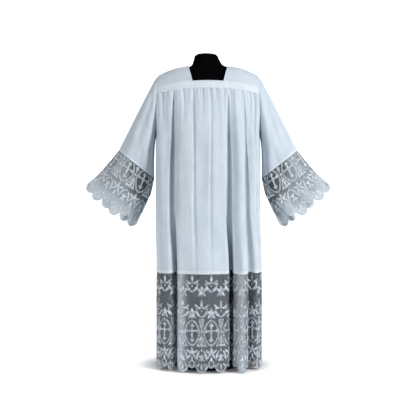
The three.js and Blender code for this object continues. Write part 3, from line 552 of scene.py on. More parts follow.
# Single gathers that run out of the band's seam: place, how far they lean to the right for each
# millimetre down, length, half-width and height
GATHERS = {
    "front": [
        (-244, -0.03, 260, 9, 3.0),
        (-227, -0.03, 170, 5, -2.6),
        (-193, -0.04, 200, 9, 2.4),
        (-171, -0.03, 400, 8, -2.6),
        (-140, 0.03, 220, 10, 2.6),
        (-121, 0.04, 130, 5, -2.6),
        (-88, -0.03, 180, 8, 2.2),
        (-72, -0.08, 150, 5, -3.0),
        (-48, 0.05, 110, 6, 2.4),
        (-27, 0.03, 90, 5, -2.2),
        (-7, -0.03, 200, 9, 1.8),
        (10, 0.06, 80, 4.5, -2.6),
        (26, 0.02, 120, 6, 2.2),
        (39, 0.08, 100, 5, -3.0),
        (58, 0.03, 150, 8, 2.0),
        (75, 0.06, 240, 7, -2.4),
        (92, 0.04, 130, 6, 2.2),
        (109, 0.03, 330, 8, -2.4),
        (132, 0.05, 400, 9, 3.2),
        (165, 0.06, 240, 8, -2.8),
        (181, 0.05, 130, 6, 2.4),
        (202, 0.06, 160, 6, -2.6),
        (218, 0.05, 120, 6, 2.2),
        (231, 0.04, 200, 5, -2.4),
        (245, 0.06, 320, 8, 3.0),
    ],
    "back": [
        (-246, -0.05, 300, 8, 3.0),
        (-224, -0.05, 150, 5, -2.6),
        (-205, -0.04, 210, 8, 2.2),
        (-182, -0.06, 120, 6, -2.6),
        (-158, -0.02, 260, 9, 2.8),
        (-133, -0.03, 330, 7, -2.6),
        (-108, 0.03, 140, 7, 2.4),
        (-91, -0.06, 110, 5, -2.8),
        (-70, 0.02, 190, 8, 2.2),
        (-47, 0.05, 90, 5, -2.4),
        (-30, -0.02, 240, 8, -2.0),
        (-12, 0.04, 130, 6, 2.6),
        (9, -0.05, 100, 5, -2.6),
        (28, 0.02, 220, 9, 2.0),
        (51, 0.07, 120, 5, -3.0),
        (70, 0.03, 160, 7, 2.2),
        (88, 0.04, 90, 5, -2.2),
        (107, 0.05, 280, 8, 2.6),
        (128, 0.03, 340, 7, -2.6),
        (152, 0.05, 130, 6, 2.4),
        (173, 0.07, 170, 6, -2.8),
        (196, 0.05, 230, 9, 2.6),
        (217, 0.06, 120, 5, -2.4),
        (241, 0.05, 310, 8, 3.0),
    ],
}
GATHER_RISE = 9  # below the seam, where a gather stands full
GATHER_PINCH = 0.75  # share of its half-width at the seam
GATHER_STEEP_LENGTH = 45  # below the seam, within which a gather stands up to twice as high
CREASE_WANDER = 5  # how far a crease strays from its straight line
CREASE_BENDS = 1.7  # half waves in which it strays
PUCKER_SPACING = 10.5
PUCKER_HEIGHT = 1.0
PUCKER_RISE = 5
PUCKER_FADE = 24
PUCKER_UNEVEN = [(1.9, 23, 0), (1.1, 9.7, 1)]  # size, length and phase
CREASE_END = 0.3  # share of a crease's length over which it comes up and dies out


def panel_detail(side_name, level, place):
    """Sum of the creases, the gathers, each a bell across, and the finest puckers"""
    total = np.zeros_like(place)
    for top_at, low_at, top, low, half_width, height in PANEL_CREASES[side_name]:
        down = (top - level) / (top - low)
        if 0 < down < 1:
            wander = CREASE_WANDER * math.sin(CREASE_BENDS * math.pi * down + top_at)
            centre = top_at + (low_at - top_at) * down + wander
            shown = smooth_step(down, 0, CREASE_END) * smooth_step(1 - down, 0, 2 * CREASE_END)
            total += height * shown * np.exp(-(((place - centre) / half_width) ** 2))
    below = GATHER_LEVEL - level
    grown = smooth_step(below, 0, GATHER_RISE)
    for start, lean, length, half_width, height in GATHERS[side_name]:
        centre = start + lean * below
        wider = half_width * (GATHER_PINCH + below / length)
        steeper = 1 + math.exp(-below / GATHER_STEEP_LENGTH)
        shown = grown * np.exp(-((below / length) ** 2)) * steeper
        total += height * shown * np.exp(-(((place - centre) / wider) ** 2))
    uneven = sum(size * np.sin(place / length + k) for size, length, k in PUCKER_UNEVEN)
    fade = np.exp(-((below / PUCKER_FADE) ** 2)) * smooth_step(below, 0, PUCKER_RISE)
    pucker = PUCKER_HEIGHT * np.sin(2 * np.pi * place / PUCKER_SPACING + uneven)
    return total + pucker * fade


# Sleeve creases: place round the ring (turn) at both ends, along at both ends, half-width and height
SLEEVE_CREASES = [
    (0.10, 0.14, 0.03, 0.85, 0.035, 5.0),
    (0.19, 0.205, 0.02, 0.8, 0.032, -5.5),
    (0.28, 0.28, 0.04, 0.95, 0.035, 5.0),
    (0.36, 0.35, 0.03, 0.75, 0.028, -4.5),
    (0.44, 0.42, 0.02, 0.8, 0.03, 4.0),
    (0.05, 0.07, 0.2, 0.98, 0.02, -2.6),
    (0.25, 0.24, 0.5, 1.0, 0.02, 2.6),
    (0.56, 0.62, 0.02, 0.75, 0.03, -4.2),
    (0.66, 0.67, 0.06, 0.95, 0.033, 4.6),
    (0.76, 0.75, 0.02, 0.85, 0.032, -5.2),
    (0.88, 0.84, 0.04, 0.9, 0.033, 4.8),
    (0.94, 0.92, 0.25, 1.0, 0.02, -2.6),
]


def sleeve_detail(along, turn):
    """Sum of the creases, each a bell round the ring and eased at both ends"""
    total = np.zeros_like(turn)
    for from_turn, to_turn, start, stop, half_width, height in SLEEVE_CREASES:
        down = (along - start) / (stop - start)
        if 0 < down < 1:
            centre = from_turn + (to_turn - from_turn) * down
            shown = smooth_step(down, 0, CREASE_END) * smooth_step(1 - down, 0, CREASE_END)
            away = np.abs(turn - centre)
            away = np.minimum(away, 1 - away)
            total += height * shown * np.exp(-((away / half_width) ** 2))
    return total


# Meshes


def make_piece(name, points, faces, material, uv=None, flat=None, values=None):
    """One mesh object of quads, from points in millimetres. flat marks the faces with no smoothing"""
    mesh = bpy.data.meshes.new(name)
    faces = np.asarray(faces, np.int32)
    mesh.vertices.add(len(points))
    mesh.vertices.foreach_set("co", (np.asarray(points) * METRE).astype(np.float32).ravel())
    mesh.loops.add(faces.size)
    mesh.loops.foreach_set("vertex_index", faces.ravel())
    mesh.polygons.add(len(faces))
    mesh.polygons.foreach_set("loop_start", np.arange(0, faces.size, 4, dtype=np.int32))
    smooth = np.ones(len(faces), bool) if flat is None else ~np.asarray(flat, bool)
    mesh.polygons.foreach_set("use_smooth", smooth)
    if uv is not None:
        layer = mesh.uv_layers.new(name="Cloth")
        layer.data.foreach_set("uv", np.asarray(uv)[faces.ravel()].astype(np.float32).ravel())
    for key, value in (values or {}).items():
        attribute = mesh.attributes.new(key, "FLOAT", "POINT")
        attribute.data.foreach_set("value", np.asarray(value, np.float32))
    mesh.update(calc_edges=True)
    mesh.validate()
    mesh.materials.append(material)
    piece = bpy.data.objects.new(name, mesh)
    bpy.context.scene.collection.objects.link(piece)
    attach(piece, "root")
    return piece


def grid_quads(rows, columns, is_tube=False):
    """Quads of a grid whose rows run down and columns to the right, seen from outside"""
    r, c = np.meshgrid(np.arange(rows - 1), np.arange(columns - (not is_tube)), indexing="ij")
    nxt = (c + 1) % columns
    quads = [r * columns + c, (r + 1) * columns + c, (r + 1) * columns + nxt, r * columns + nxt]
    return np.stack(quads, -1).reshape(-1, 4)


def rim_quads(loop, inner):
    """Quads from a line of outer vertices to the inner ones beside them"""
    a, b = loop[:-1], loop[1:]
    return np.stack([a, b, b + inner, a + inner], -1)


def wall(points, outs, thickness, is_tube=False):
    """A closed wall: outer face on the points, inner face a thickness further in"""
    rows, columns = points.shape[:2]
    inner_face = points - outs * thickness
    vertices = np.concatenate([points.reshape(-1, 3), inner_face.reshape(-1, 3)])
    inner = rows * columns
    skin = grid_quads(rows, columns, is_tube)
    faces = [skin, skin[:, ::-1] + inner]
    index = np.arange(inner).reshape(rows, columns)
    top, bottom = index[0], index[-1]
    if is_tube:
        top, bottom = np.append(top, top[0]), np.append(bottom, bottom[0])
    else:
        faces.append(rim_quads(index[::-1, 0], inner))
        faces.append(rim_quads(index[:, -1], inner))
    faces.append(rim_quads(top[::-1], inner)[:, ::-1])
    faces.append(rim_quads(bottom[::-1], inner))
    faces = np.concatenate(faces)
    is_rim = np.arange(len(faces)) >= 2 * len(skin)
    return vertices, faces, is_rim


def sheet_uv(widths, heights):
    """Places on the flat cloth in millimetres, the same for both faces of a wall"""
    u, v = np.meshgrid(widths, heights)
    one = np.stack([u.ravel(), v.ravel()], -1)
    return np.concatenate([one, one])


class Sampler:
    """Points and directions of a sheet at any share of its width and any row value"""

    def __init__(self, points, outs, rows, is_loop):
        self.points, self.outs, self.is_loop = points, outs, is_loop
        self.rows = np.asarray(rows, float)

    def at(self, share, row_value, height):
        """Straight lines between the four nearest grid points, plus height along the direction"""
        columns = self.points.shape[1] - 1
        share = np.mod(share, 1) if self.is_loop else np.clip(share, 0, 1)
        c = share * columns
        r = np.interp(row_value, self.rows, np.arange(len(self.rows)))
        c0 = np.minimum(c.astype(int), columns - 1)
        r0 = np.minimum(r.astype(int), len(self.rows) - 2)
        tc, tr = (c - c0)[..., None], (r - r0)[..., None]

        def mixed(table):
            upper = table[r0, c0] * (1 - tc) + table[r0, c0 + 1] * tc
            lower = table[r0 + 1, c0] * (1 - tc) + table[r0 + 1, c0 + 1] * tc
            return upper * (1 - tr) + lower * tr

        return mixed(self.points) + unit(mixed(self.outs)) * np.asarray(height)[..., None]


def hem_sampler():
    """The whole hem as one loop: front, then back, from the floor to just over the seam"""
    levels = np.arange(HEM_LOW, LACE_LEVEL + SAMPLER_OVER_SEAM, SAMPLER_ROW, dtype=float)
    shares = np.linspace(0, 1, SAMPLER_COLUMNS + 1)
    halves = [stacked([points_on_level(n, z, shares) for z in levels]) for n in ("front", "back")]
    points, outs = (
        np.concatenate([halves[0][k][:, :-1], halves[1][k][:, :-1], halves[0][k][:, :1]], 1)
        for k in (0, 1)
    )
    return Sampler(points, outs, levels, True)


def cuff_sampler():
    """The right cuff and the end of its sleeve as one loop"""
    alongs = np.linspace(*CUFF_SAMPLER_STATIONS)
    shares = np.linspace(0, 1, SAMPLER_COLUMNS + 1)
    points, outs = stacked([sleeve_ring(a, shares) for a in alongs])
    return Sampler(points, outs, alongs, True)


def mirrored(piece_points, mirror):
    """x times mirror"""
    return piece_points * np.array([mirror, 1, 1])


# Materials: every tree is built from short calls


class Tree:
    """Short calls that add nodes and link them"""

    def __init__(self, tree):
        self.tree = tree

    def add(self, kind, inputs=None, **settings):
        node = self.tree.nodes.new(kind)
        for name, value in settings.items():
            setattr(node, name, value)
        for name, value in (inputs or {}).items():
            self.put(node.inputs[name], value)
        return node

    def put(self, socket, value):
        if isinstance(value, bpy.types.NodeSocket):
            self.tree.links.new(value, socket)
        else:
            socket.default_value = value

    def math(self, operation, a, b=0.0, c=0.0):
        inputs = {0: a, 1: b, 2: c}
        node = self.add("ShaderNodeMath", operation=operation)
        for i, value in inputs.items():
            self.put(node.inputs[i], value)
        return node.outputs[0]

    def vector(self, operation, a, b=(0, 0, 0), c=(0, 0, 0), output=0):
        node = self.add("ShaderNodeVectorMath", operation=operation)
        for i, value in enumerate((a, b, c)):
            if i < len(node.inputs):
                self.put(node.inputs[i], value)
        return node.outputs[output]

    def noise(self, vector, scale, detail=3.0):
        inputs = {"Vector": vector, "Scale": scale, "Detail": detail}
        return self.add("ShaderNodeTexNoise", inputs).outputs[0]

    def between(self, factor, low, high):
        """Colour between low and high by factor"""
        node = self.add("ShaderNodeMix", data_type="RGBA")
        self.put(node.inputs["Factor"], factor)
        colours = [socket for socket in node.inputs if socket.type == "RGBA"]
        self.put(colours[0], low)
        self.put(colours[1], high)
        return next(s for s in node.outputs if s.type == "RGBA")

    def ramp(self, value, low, high):
        """0 at low, 1 at high, eased"""
        node = self.add("ShaderNodeMapRange", interpolation_type="SMOOTHSTEP")
        self.put(node.inputs["Value"], value)
        self.put(node.inputs["From Min"], low)
        self.put(node.inputs["From Max"], high)
        return node.outputs[0]


def node_group(name, inputs, outputs):
    """A new group with float or vector inputs (by their defaults) and float outputs"""
    group = bpy.data.node_groups.new(name, "ShaderNodeTree")
    for key, default in inputs.items():
        kind = "NodeSocketVector" if default is None else "NodeSocketFloat"
        socket = group.interface.new_socket(key, in_out="INPUT", socket_type=kind)
        if default is not None:
            socket.default_value = default
    for key in outputs:
        group.interface.new_socket(key, in_out="OUTPUT", socket_type="NodeSocketFloat")
    tree = Tree(group)
    return group, tree, tree.add("NodeGroupInput"), tree.add("NodeGroupOutput")


def weave_group():
    """Plain weave: warp and weft cross over in turn, with uneven threads"""
    group, t, given, made = node_group(
        "Plain weave", {"Place": None, "Pitch": 0.8, "Uneven": 0.25}, ["Height", "Shade"]
    )
    noise = t.noise(given.outputs["Place"], 0.9, 2.0)
    parts = t.add("ShaderNodeSeparateXYZ", {0: given.outputs["Place"]})
    wobble = t.math("MULTIPLY", noise, given.outputs["Uneven"])
    waves = []
    for axis in (0, 1):
        place = t.math("ADD", parts.outputs[axis], wobble)
        turns = t.math("DIVIDE", place, given.outputs["Pitch"])
        waves.append(t.math("SINE", t.math("MULTIPLY", turns, math.pi)))
    over = t.math("MULTIPLY", waves[0], waves[1])
    height = t.math("MULTIPLY_ADD", t.math("ABSOLUTE", over), 0.8, t.math("MULTIPLY", over, 0.2))
    t.put(made.inputs["Height"], height)
    t.put(made.inputs["Shade"], t.math("MULTIPLY_ADD", over, 0.5, 0.5))
    return group


def net_group():
    """Hexagonal net: 1 on a thread and 0 in a hole, by the distance to the nearest cell's edge"""
    group, t, given, made = node_group(
        "Hexagon net", {"Place": None, "Cell": 2.4, "Thread": 0.07}, ["Thread"]
    )
    cell = (1.0, math.sqrt(3), 1.0)
    half = tuple(v / 2 for v in cell)
    place = t.vector("DIVIDE", given.outputs["Place"], joined(t, given.outputs["Cell"]))
    far = 400  # cells, so that no place is below 0
    whole = t.vector("ADD", place, (far, far * cell[1], 0))
    a = t.vector("SUBTRACT", t.vector("MODULO", whole, cell), half)
    shifted = t.vector("ADD", place, (far + 0.5, (far + 0.5) * cell[1], 0))
    b = t.vector("SUBTRACT", t.vector("MODULO", shifted, cell), half)
    flat_a = t.vector("MULTIPLY", a, (1, 1, 0))
    flat_b = t.vector("MULTIPLY", b, (1, 1, 0))
    nearer = t.math(
        "LESS_THAN",
        t.vector("LENGTH", flat_a, output="Value"),
        t.vector("LENGTH", flat_b, output="Value"),
    )
    apart = t.vector("SUBTRACT", flat_a, flat_b)
    folded = t.vector("ABSOLUTE", t.vector("MULTIPLY_ADD", apart, joined(t, nearer), flat_b))
    slanted = t.vector("DOT_PRODUCT", folded, (0.5, math.sqrt(3) / 2, 0), output="Value")
    across = t.add("ShaderNodeSeparateXYZ", {0: folded}).outputs[0]
    edge = t.math("SUBTRACT", 0.5, t.math("MAXIMUM", slanted, across))
    t.put(made.inputs["Thread"], t.math("LESS_THAN", edge, given.outputs["Thread"]))
    return group


def joined(t, value):
    """A vector with the same number three times"""
    node = t.add("ShaderNodeCombineXYZ")
    for socket in node.inputs:
        t.put(socket, value)
    return node.outputs[0]


def new_material(name, **constants):
    """A Principled material with its constants on its own sockets: (material, tree, shader)"""
    material = bpy.data.materials.new(name)
    material.use_nodes = True
    tree = Tree(material.node_tree)
    shader = material.node_tree.nodes["Principled BSDF"]
    for key, value in constants.items():
        shader.inputs[key.replace("_", " ")].default_value = value
    return material, tree, shader


def cloth_place(t):
    """Place on the flat cloth, in millimetres"""
    return t.add("ShaderNodeUVMap", uv_map="Cloth").outputs[0]


def object_place(t):
    """Place in the garment, in metres"""
    return t.add("ShaderNodeTexCoord").outputs["Object"]


def bumped(t, shader, height, strength, distance):
    """Fine relief of a surface from a height"""
    node = t.add("ShaderNodeBump", {"Strength": strength, "Distance": distance, "Height": height})
    t.put(shader.inputs["Normal"], node.outputs[0])


def cotton(name, low, high, weave, pitch=0.9):
    """Plain woven cotton: weave, slubs and soft changes of tone over the piece"""
    material, t, shader = new_material(name, Sheen_Weight=0.25, Sheen_Roughness=0.5)
    place = cloth_place(t)
    threads = t.add("ShaderNodeGroup", node_tree=weave)
    t.put(threads.inputs["Place"], place)
    t.put(threads.inputs["Pitch"], pitch)
    stretched = t.vector("MULTIPLY", place, SLUB_SCALE)
    slubs = t.ramp(t.noise(stretched, 1.0, 4.0), 0.35, 0.7)
    clouds = t.noise(t.vector("MULTIPLY", place, CLOUD_SCALE), 1.0, 2.0)
    tone = t.math("MULTIPLY_ADD", slubs, 0.25, t.math("MULTIPLY", clouds, 0.75))
    colour = t.between(t.ramp(tone, 0.25, 0.75), low, high)
    grain = t.math("MULTIPLY_ADD", threads.outputs["Shade"], 0.1, 0.9)
    shaded = t.vector("SCALE", colour)
    t.put(shaded.node.inputs["Scale"], grain)
    t.put(shader.inputs["Base Color"], shaded)
    rough = t.math("MULTIPLY_ADD", slubs, -0.1, 0.88)
    t.put(shader.inputs["Roughness"], rough)
    height = t.math("MULTIPLY_ADD", slubs, 0.6, threads.outputs["Height"])
    bumped(t, shader, height, 0.35, 0.0004)
    return material


def net_material(name, colours, thread, net):
    """Net ground of the lace. Shade is 0 where it lies in shadow, and Dense is 1 where nets overlap. Its
    inside face is drawn almost closed in painted colours: painted shade, and on the cuffs' scallops
    painted light
    """
    material, t, shader = new_material(name, Roughness=0.8, Sheen_Weight=0.1)
    place = cloth_place(t)
    holes = t.add("ShaderNodeGroup", node_tree=net)
    t.put(holes.inputs["Place"], place)
    dense = t.add("ShaderNodeAttribute", attribute_name="Dense").outputs["Fac"]
    shade = t.add("ShaderNodeAttribute", attribute_name="Shade").outputs["Fac"]
    uneven = t.noise(t.vector("MULTIPLY", place, NET_CLOUD_SCALE), 1.0, 2.0)
    width = t.math("MULTIPLY_ADD", dense, DENSE_THREAD, thread)
    t.put(holes.inputs["Thread"], t.math("MULTIPLY_ADD", uneven, 0.03, width))
    lit = t.between(uneven, colours["low"], colours["high"])
    outside = t.between(shade, colours["in_shade"], t.between(dense, lit, colours["dense"]))
    # The inside face is painted, not lit: a near-black painted shade of the dark interior on the hem, a
    # darker painted shade near the body on the cuffs, and painted light on the cuffs' scallops
    is_inside = t.add("ShaderNodeNewGeometry").outputs["Backfacing"]
    within = t.between(dense, colours["inside"], colours["painted_inside_dense"])
    within = t.between(shade, colours["inside_in_shade"], within)
    t.put(shader.inputs["Base Color"], t.between(is_inside, outside, within))
    cover = t.math("MULTIPLY", is_inside, PAINTED_INSIDE_COVER)
    t.put(shader.inputs["Alpha"], t.math("MAXIMUM", holes.outputs["Thread"], cover))
    return material


def raised_material(name, low, high):
    """Raised pattern of the lace: dense stitches across each stroke, brighter along its edges, with
    painted highlights in spots where stitches catch the light
    """
    material, t, shader = new_material(name, Roughness=0.7, Sheen_Weight=0.1)
    parts = t.add("ShaderNodeSeparateXYZ", {0: cloth_place(t)})
    along, across = parts.outputs[0], parts.outputs[1]
    stitches = t.math("SINE", t.math("MULTIPLY", along, 2 * math.pi / THREAD_PITCH))
    place = object_place(t)
    uneven = t.noise(place, 160.0, 3.0)
    # Painted highlights: bright spots where stitches would catch the light
    painted_highlights = t.ramp(t.noise(place, 70.0, 3.0), 0.44, 0.64)
    edge = t.ramp(t.math("ABSOLUTE", across), 0.25, 0.85)
    tone = t.math("MULTIPLY_ADD", painted_highlights, 0.55, t.math("MULTIPLY", edge, 0.25))
    tone = t.math("MULTIPLY_ADD", uneven, 0.2, tone)
    t.put(shader.inputs["Base Color"], t.between(tone, low, high))
    height = t.math("MULTIPLY_ADD", stitches, 0.4, uneven)
    bumped(t, shader, height, 0.5, 0.0004)
    return material


def jersey_material():
    """Black jersey: ribs of knitted loops"""
    material, t, shader = new_material("Black jersey", Specular_IOR_Level=0.0)
    place = object_place(t)
    parts = t.add("ShaderNodeSeparateXYZ", {0: place})
    angle = t.math("ARCTAN2", parts.outputs[1], parts.outputs[0])
    wales = t.math("SINE", t.math("MULTIPLY", angle, JERSEY_WALES))
    courses = t.math("SINE", t.math("MULTIPLY", parts.outputs[2], 2 * math.pi / JERSEY_COURSE))
    mottle = t.noise(place, 45.0, 4.0)
    t.put(shader.inputs["Base Color"], t.between(mottle, JERSEY_LOW, JERSEY_HIGH))
    t.put(shader.inputs["Roughness"], t.math("MULTIPLY_ADD", mottle, 0.1, 0.85))
    bumped(t, shader, t.math("MULTIPLY", wales, courses), 0.3, 0.0005)
    return material


def steel_material():
    """Black powder-coated steel: a fine, even orange peel, slightly worn"""
    material, t, shader = new_material("Black coated steel", Coat_Weight=0.15, Coat_Roughness=0.35)
    place = object_place(t)
    peel = t.noise(place, 900.0, 2.0)
    wear = t.ramp(t.noise(place, 38.0, 5.0), 0.5, 0.75)
    t.put(shader.inputs["Base Color"], t.between(wear, STEEL_LOW, STEEL_HIGH))
    t.put(shader.inputs["Roughness"], t.math("MULTIPLY_ADD", wear, 0.12, 0.42))
    bumped(t, shader, peel, 0.25, 0.0002)
    return material


def floor_material():
    """White studio floor: a faint mottle, bright enough to run into the white background, with a painted
    shadow round the form's foot
    """
    material, t, shader = new_material("Studio floor", Roughness=0.9)
    place = object_place(t)
    mottle = t.noise(place, 3.0, 4.0)
    t.put(shader.inputs["Base Color"], t.between(mottle, FLOOR_LOW, FLOOR_HIGH))
    away = t.vector("LENGTH", t.vector("MULTIPLY", place, (1, 1.3, 0)), output="Value")
    # Painted shadow: the floor's glow fades to near black within a short reach of the form
    glow = t.ramp(away, *FLOOR_SHADOW_FADE_FROM_TO)
    t.put(shader.inputs["Emission Color"], t.between(glow, FLOOR_PAINTED_SHADOW, WHITE))
    shader.inputs["Emission Strength"].default_value = FLOOR_GLOW
    return material


def backdrop_material():
    """White screen that glows evenly over a faint mottle"""
    material, t, shader = new_material("Studio screen", Roughness=0.9)
    place = object_place(t)
    mottle = t.noise(place, 0.5, 2.0)
    t.put(shader.inputs["Base Color"], t.between(mottle, SCREEN_LOW, SCREEN_HIGH))
    shader.inputs["Emission Color"].default_value = WHITE
    shader.inputs["Emission Strength"].default_value = 1.0
    return material


NET_THREAD = 0.085
CUFF_NET_THREAD = 0.13
# Share of the net's inside face drawn closed, so that its painted shade hides what lies behind
PAINTED_INSIDE_COVER = 0.94  # how much of the inside's net reads as closed, in its own shade
DENSE_THREAD = 0.2
# The inside colours paint shade: the hem's inside is a near-black painted shade of the dark interior, a
# little lighter where nets overlap
HEM_NET = {
    "low": (0.24, 0.275, 0.31, 1),
    "high": (0.35, 0.395, 0.44, 1),
    "in_shade": (0.3, 0.34, 0.38, 1),
    "dense": (0.5, 0.55, 0.62, 1),
    "inside": (0.012, 0.014, 0.016, 1),
    "painted_inside_dense": (0.1, 0.11, 0.125, 1),
    "inside_in_shade": (0.012, 0.014, 0.016, 1),
}
# in_shade and inside_in_shade paint the shade near the body, inside is a painted shade of the outside's
# colour, and the inside's colour at the scallops is a painted light
CUFF_NET = {
    "low": (0.42, 0.475, 0.52, 1),
    "high": (0.54, 0.6, 0.65, 1),
    "in_shade": (0.13, 0.15, 0.165, 1),
    "dense": (0.48, 0.535, 0.58, 1),
    "inside": (0.35, 0.395, 0.435, 1),
    "painted_inside_dense": (0.8, 0.87, 0.93, 1),
    "inside_in_shade": (0.035, 0.04, 0.045, 1),
}
THREAD_PITCH = 0.9
# How often uneven spots repeat across and down the flat cloth, for each millimetre
SLUB_SCALE = (0.22, 0.02, 1)
CLOUD_SCALE = (0.012, 0.008, 1)
NET_CLOUD_SCALE = (0.05, 0.05, 1)
JERSEY_LOW = (0.0008, 0.0008, 0.001, 1)
JERSEY_HIGH = (0.004, 0.004, 0.005, 1)
JERSEY_WALES = 480.0  # ribs, for each radian round the form
JERSEY_COURSE = 0.0016
STEEL_LOW = (0.006, 0.006, 0.007, 1)
STEEL_HIGH = (0.014, 0.014, 0.016, 1)
WHITE = (1, 1, 1, 1)
FLOOR_LOW = (0.78, 0.79, 0.8, 1)
FLOOR_HIGH = (0.82, 0.82, 0.83, 1)
# Colour of the floor's painted shadow round the form
FLOOR_PAINTED_SHADOW = (0.12, 0.12, 0.13, 1)
SCREEN_LOW = (0.8, 0.8, 0.8, 1)
SCREEN_HIGH = (0.82, 0.82, 0.82, 1)
FLOOR_GLOW = 0.62
# Where the floor's painted shadow fades out into the white glow
FLOOR_SHADOW_FADE_FROM_TO = (0.25, 0.39)  # metres from the form's middle
WORLD_STRENGTH = 0.12
CLOTH_LOW = (0.56, 0.645, 0.725, 1)
CLOTH_HIGH = (0.645, 0.73, 0.81, 1)
HEM_LOW_COLOUR = (0.67, 0.745, 0.81, 1)
HEM_HIGH_COLOUR = (0.75, 0.82, 0.88, 1)
# The high colours of the raised and sewing threads are reached in their painted highlights
RAISED_LOW = (0.24, 0.28, 0.32, 1)
RAISED_HIGH = (0.8, 0.87, 0.94, 1)
CUFF_RAISED_LOW = (0.46, 0.52, 0.57, 1)
CUFF_RAISED_HIGH = (0.78, 0.86, 0.93, 1)
THREAD_LOW = (0.66, 0.74, 0.8, 1)
THREAD_HIGH = (0.8, 0.87, 0.93, 1)

weave = weave_group()
net = net_group()
cloth_material = cotton("White cotton", CLOTH_LOW, CLOTH_HIGH, weave)
hem_material = cotton("White cotton, doubled", HEM_LOW_COLOUR, HEM_HIGH_COLOUR, weave)
hem_ground = net_material("Net ground of the hem", HEM_NET, NET_THREAD, net)
cuff_ground = net_material("Net ground of the cuffs", CUFF_NET, CUFF_NET_THREAD, net)
raised = raised_material("Raised lace thread", RAISED_LOW, RAISED_HIGH)
cuff_raised = raised_material("Raised lace thread of the cuffs", CUFF_RAISED_LOW, CUFF_RAISED_HIGH)
sewing = raised_material("Sewing thread", THREAD_LOW, THREAD_HIGH)
jersey = jersey_material()
steel = steel_material()


# Body cloth: sizes of the flat cloth in millimetres, and rows and columns of its grids
PANEL_WIDTH = 1240
BAND_LENGTH = 530
BAND_ROWS = 12
BAND_COLUMNS = 160
BAND_PUCKERS = {"height": 0.45, "fade": 7, "length": 3.1, "uneven": 1.5, "uneven_length": 17}
SHOULDER_ROWS = 29
SHOULDER_COLUMNS = 49
SHOULDER_WIDTH = 200
SHOULDER_LENGTH = 180
SLEEVE_GIRTH = 700
SLEEVE_LENGTH = 440
SLEEVE_SHARES = np.arange(200) / 200
PANEL_ROWS_AT_GATHERS = [0, 1.5, 4, 8, 13, 19, 26, 34, 43, 53, 64]  # below the seam
PANEL_ROWS_UPPER = 14
PANEL_ROWS_LOWER = 79
ARMHOLE_END_ROWS = {"above": 29.5, "step": 2.5}  # even rows from this far above the underarm
SLEEVE_FINE_UNTIL = 0.12  # share of the sleeve with the closest rows
FINE_WALL = 0.04  # thickness of turned hems, cords and welts, which lie on the cloth
TURNED_LIFTS = np.array([0.05, 0.7, 1.0, 0.8, 0.8, 1.0, 0.7, 0.05])[:, None, None]
# Levels of the rows of a turned hem over the lace seam
TURNED_ABOVE_LACE = np.array([14.4, 13.8, 12.5, 9, 5, 2, 0.7, 0.2])
# Shares of the sleeve's length before the lace seam
TURNED_BEFORE_LACE = np.array([0.034, 0.032, 0.028, 0.02, 0.012, 0.005, 0.002, RING_SEAM])


def finish_piece(piece, slot, *nodes):
    """The piece, with the solids that it stands for hidden; its material slot is not used"""
    if nodes:
        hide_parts(*nodes)
    return piece


def cloth_piece(name, grid, material, *nodes, thickness=CLOTH, is_tube=False):
    """A wall of cloth on a grid of points, directions and places on the flat cloth"""
    points, outs, uv = grid
    vertices, faces, flat = wall(points, outs, thickness, is_tube)
    return finish_piece(make_piece(name, vertices, faces, material, uv, flat), "cloth", *nodes)


def panel_levels():
    """Rows that are close under the gathers and where the armholes end, and even below"""
    near = GATHER_LEVEL - HALF_SEAM - np.array(PANEL_ROWS_AT_GATHERS)
    end, step = UNDERARM_LEVEL + ARMHOLE_END_ROWS["above"], ARMHOLE_END_ROWS["step"]
    upper = np.linspace(near[-1], end + step, PANEL_ROWS_UPPER + 1)[1:]
    armhole_end = np.arange(end, UNDERARM_LEVEL - 1, -step)
    lower = np.linspace(armhole_end[-1], LACE_LEVEL + HALF_SEAM, PANEL_ROWS_LOWER + 1)[1:]
    return np.concatenate([near, upper, armhole_end, lower])


def panel_grid(side_name, levels, lifts=0.0):
    """The panel's grid at some levels, lifted off the cloth row by row"""
    shares = np.linspace(0, 1, PANEL_COLUMNS + 1)
    points, outs = stacked([points_on_level(side_name, z, shares, panel_detail) for z in levels])
    return points + outs * lifts, outs, sheet_uv(shares * PANEL_WIDTH, levels)


def build_panel(side_name):
    """The gathered body, from the band to the lace"""
    grid = panel_grid(side_name, panel_levels())
    return cloth_piece(f"{side_name}_panel_cloth", grid, cloth_material, f"{side_name}_panel")


def turned_hem(side_name):
    """The panel's lower edge turned over the lace seam"""
    grid = panel_grid(side_name, LACE_LEVEL + TURNED_ABOVE_LACE, TURNED_LIFTS)
    return cloth_piece(f"{side_name}_turned_hem", grid, hem_material, thickness=FINE_WALL)


def band_row(side_name, level, share):
    """Points and directions across the band at shares of its turn"""
    x = SIDES[side_name]["facing"] * np.cos(np.pi * share) * armhole_edge(level)[0]
    return contour_point(side_name, level, x), contour_out(side_name, level, x)


def build_band(side_name):
    """The band, drawn into fine puckers by the gathers under it"""
    levels = np.linspace(BAND_LEVEL - HALF_SEAM, GATHER_LEVEL + HALF_SEAM, BAND_ROWS)
    share = np.linspace(0, 1, BAND_COLUMNS + 1)
    p = BAND_PUCKERS
    rows = []
    for level in levels:
        points, outs = band_row(side_name, level, share)
        x = points[:, 0]
        fade = np.exp(-(((level - GATHER_LEVEL) / p["fade"]) ** 2))
        uneven = p["uneven"] * np.sin(x / p["uneven_length"])
        drawn = p["height"] * fade * np.sin(x / p["length"] + uneven)
        rows.append((points + outs * drawn[:, None], outs))
    grid = (*stacked(rows), sheet_uv(share * BAND_LENGTH, levels))
    return cloth_piece(f"{side_name}_band_cloth", grid, hem_material, f"{side_name}_band")


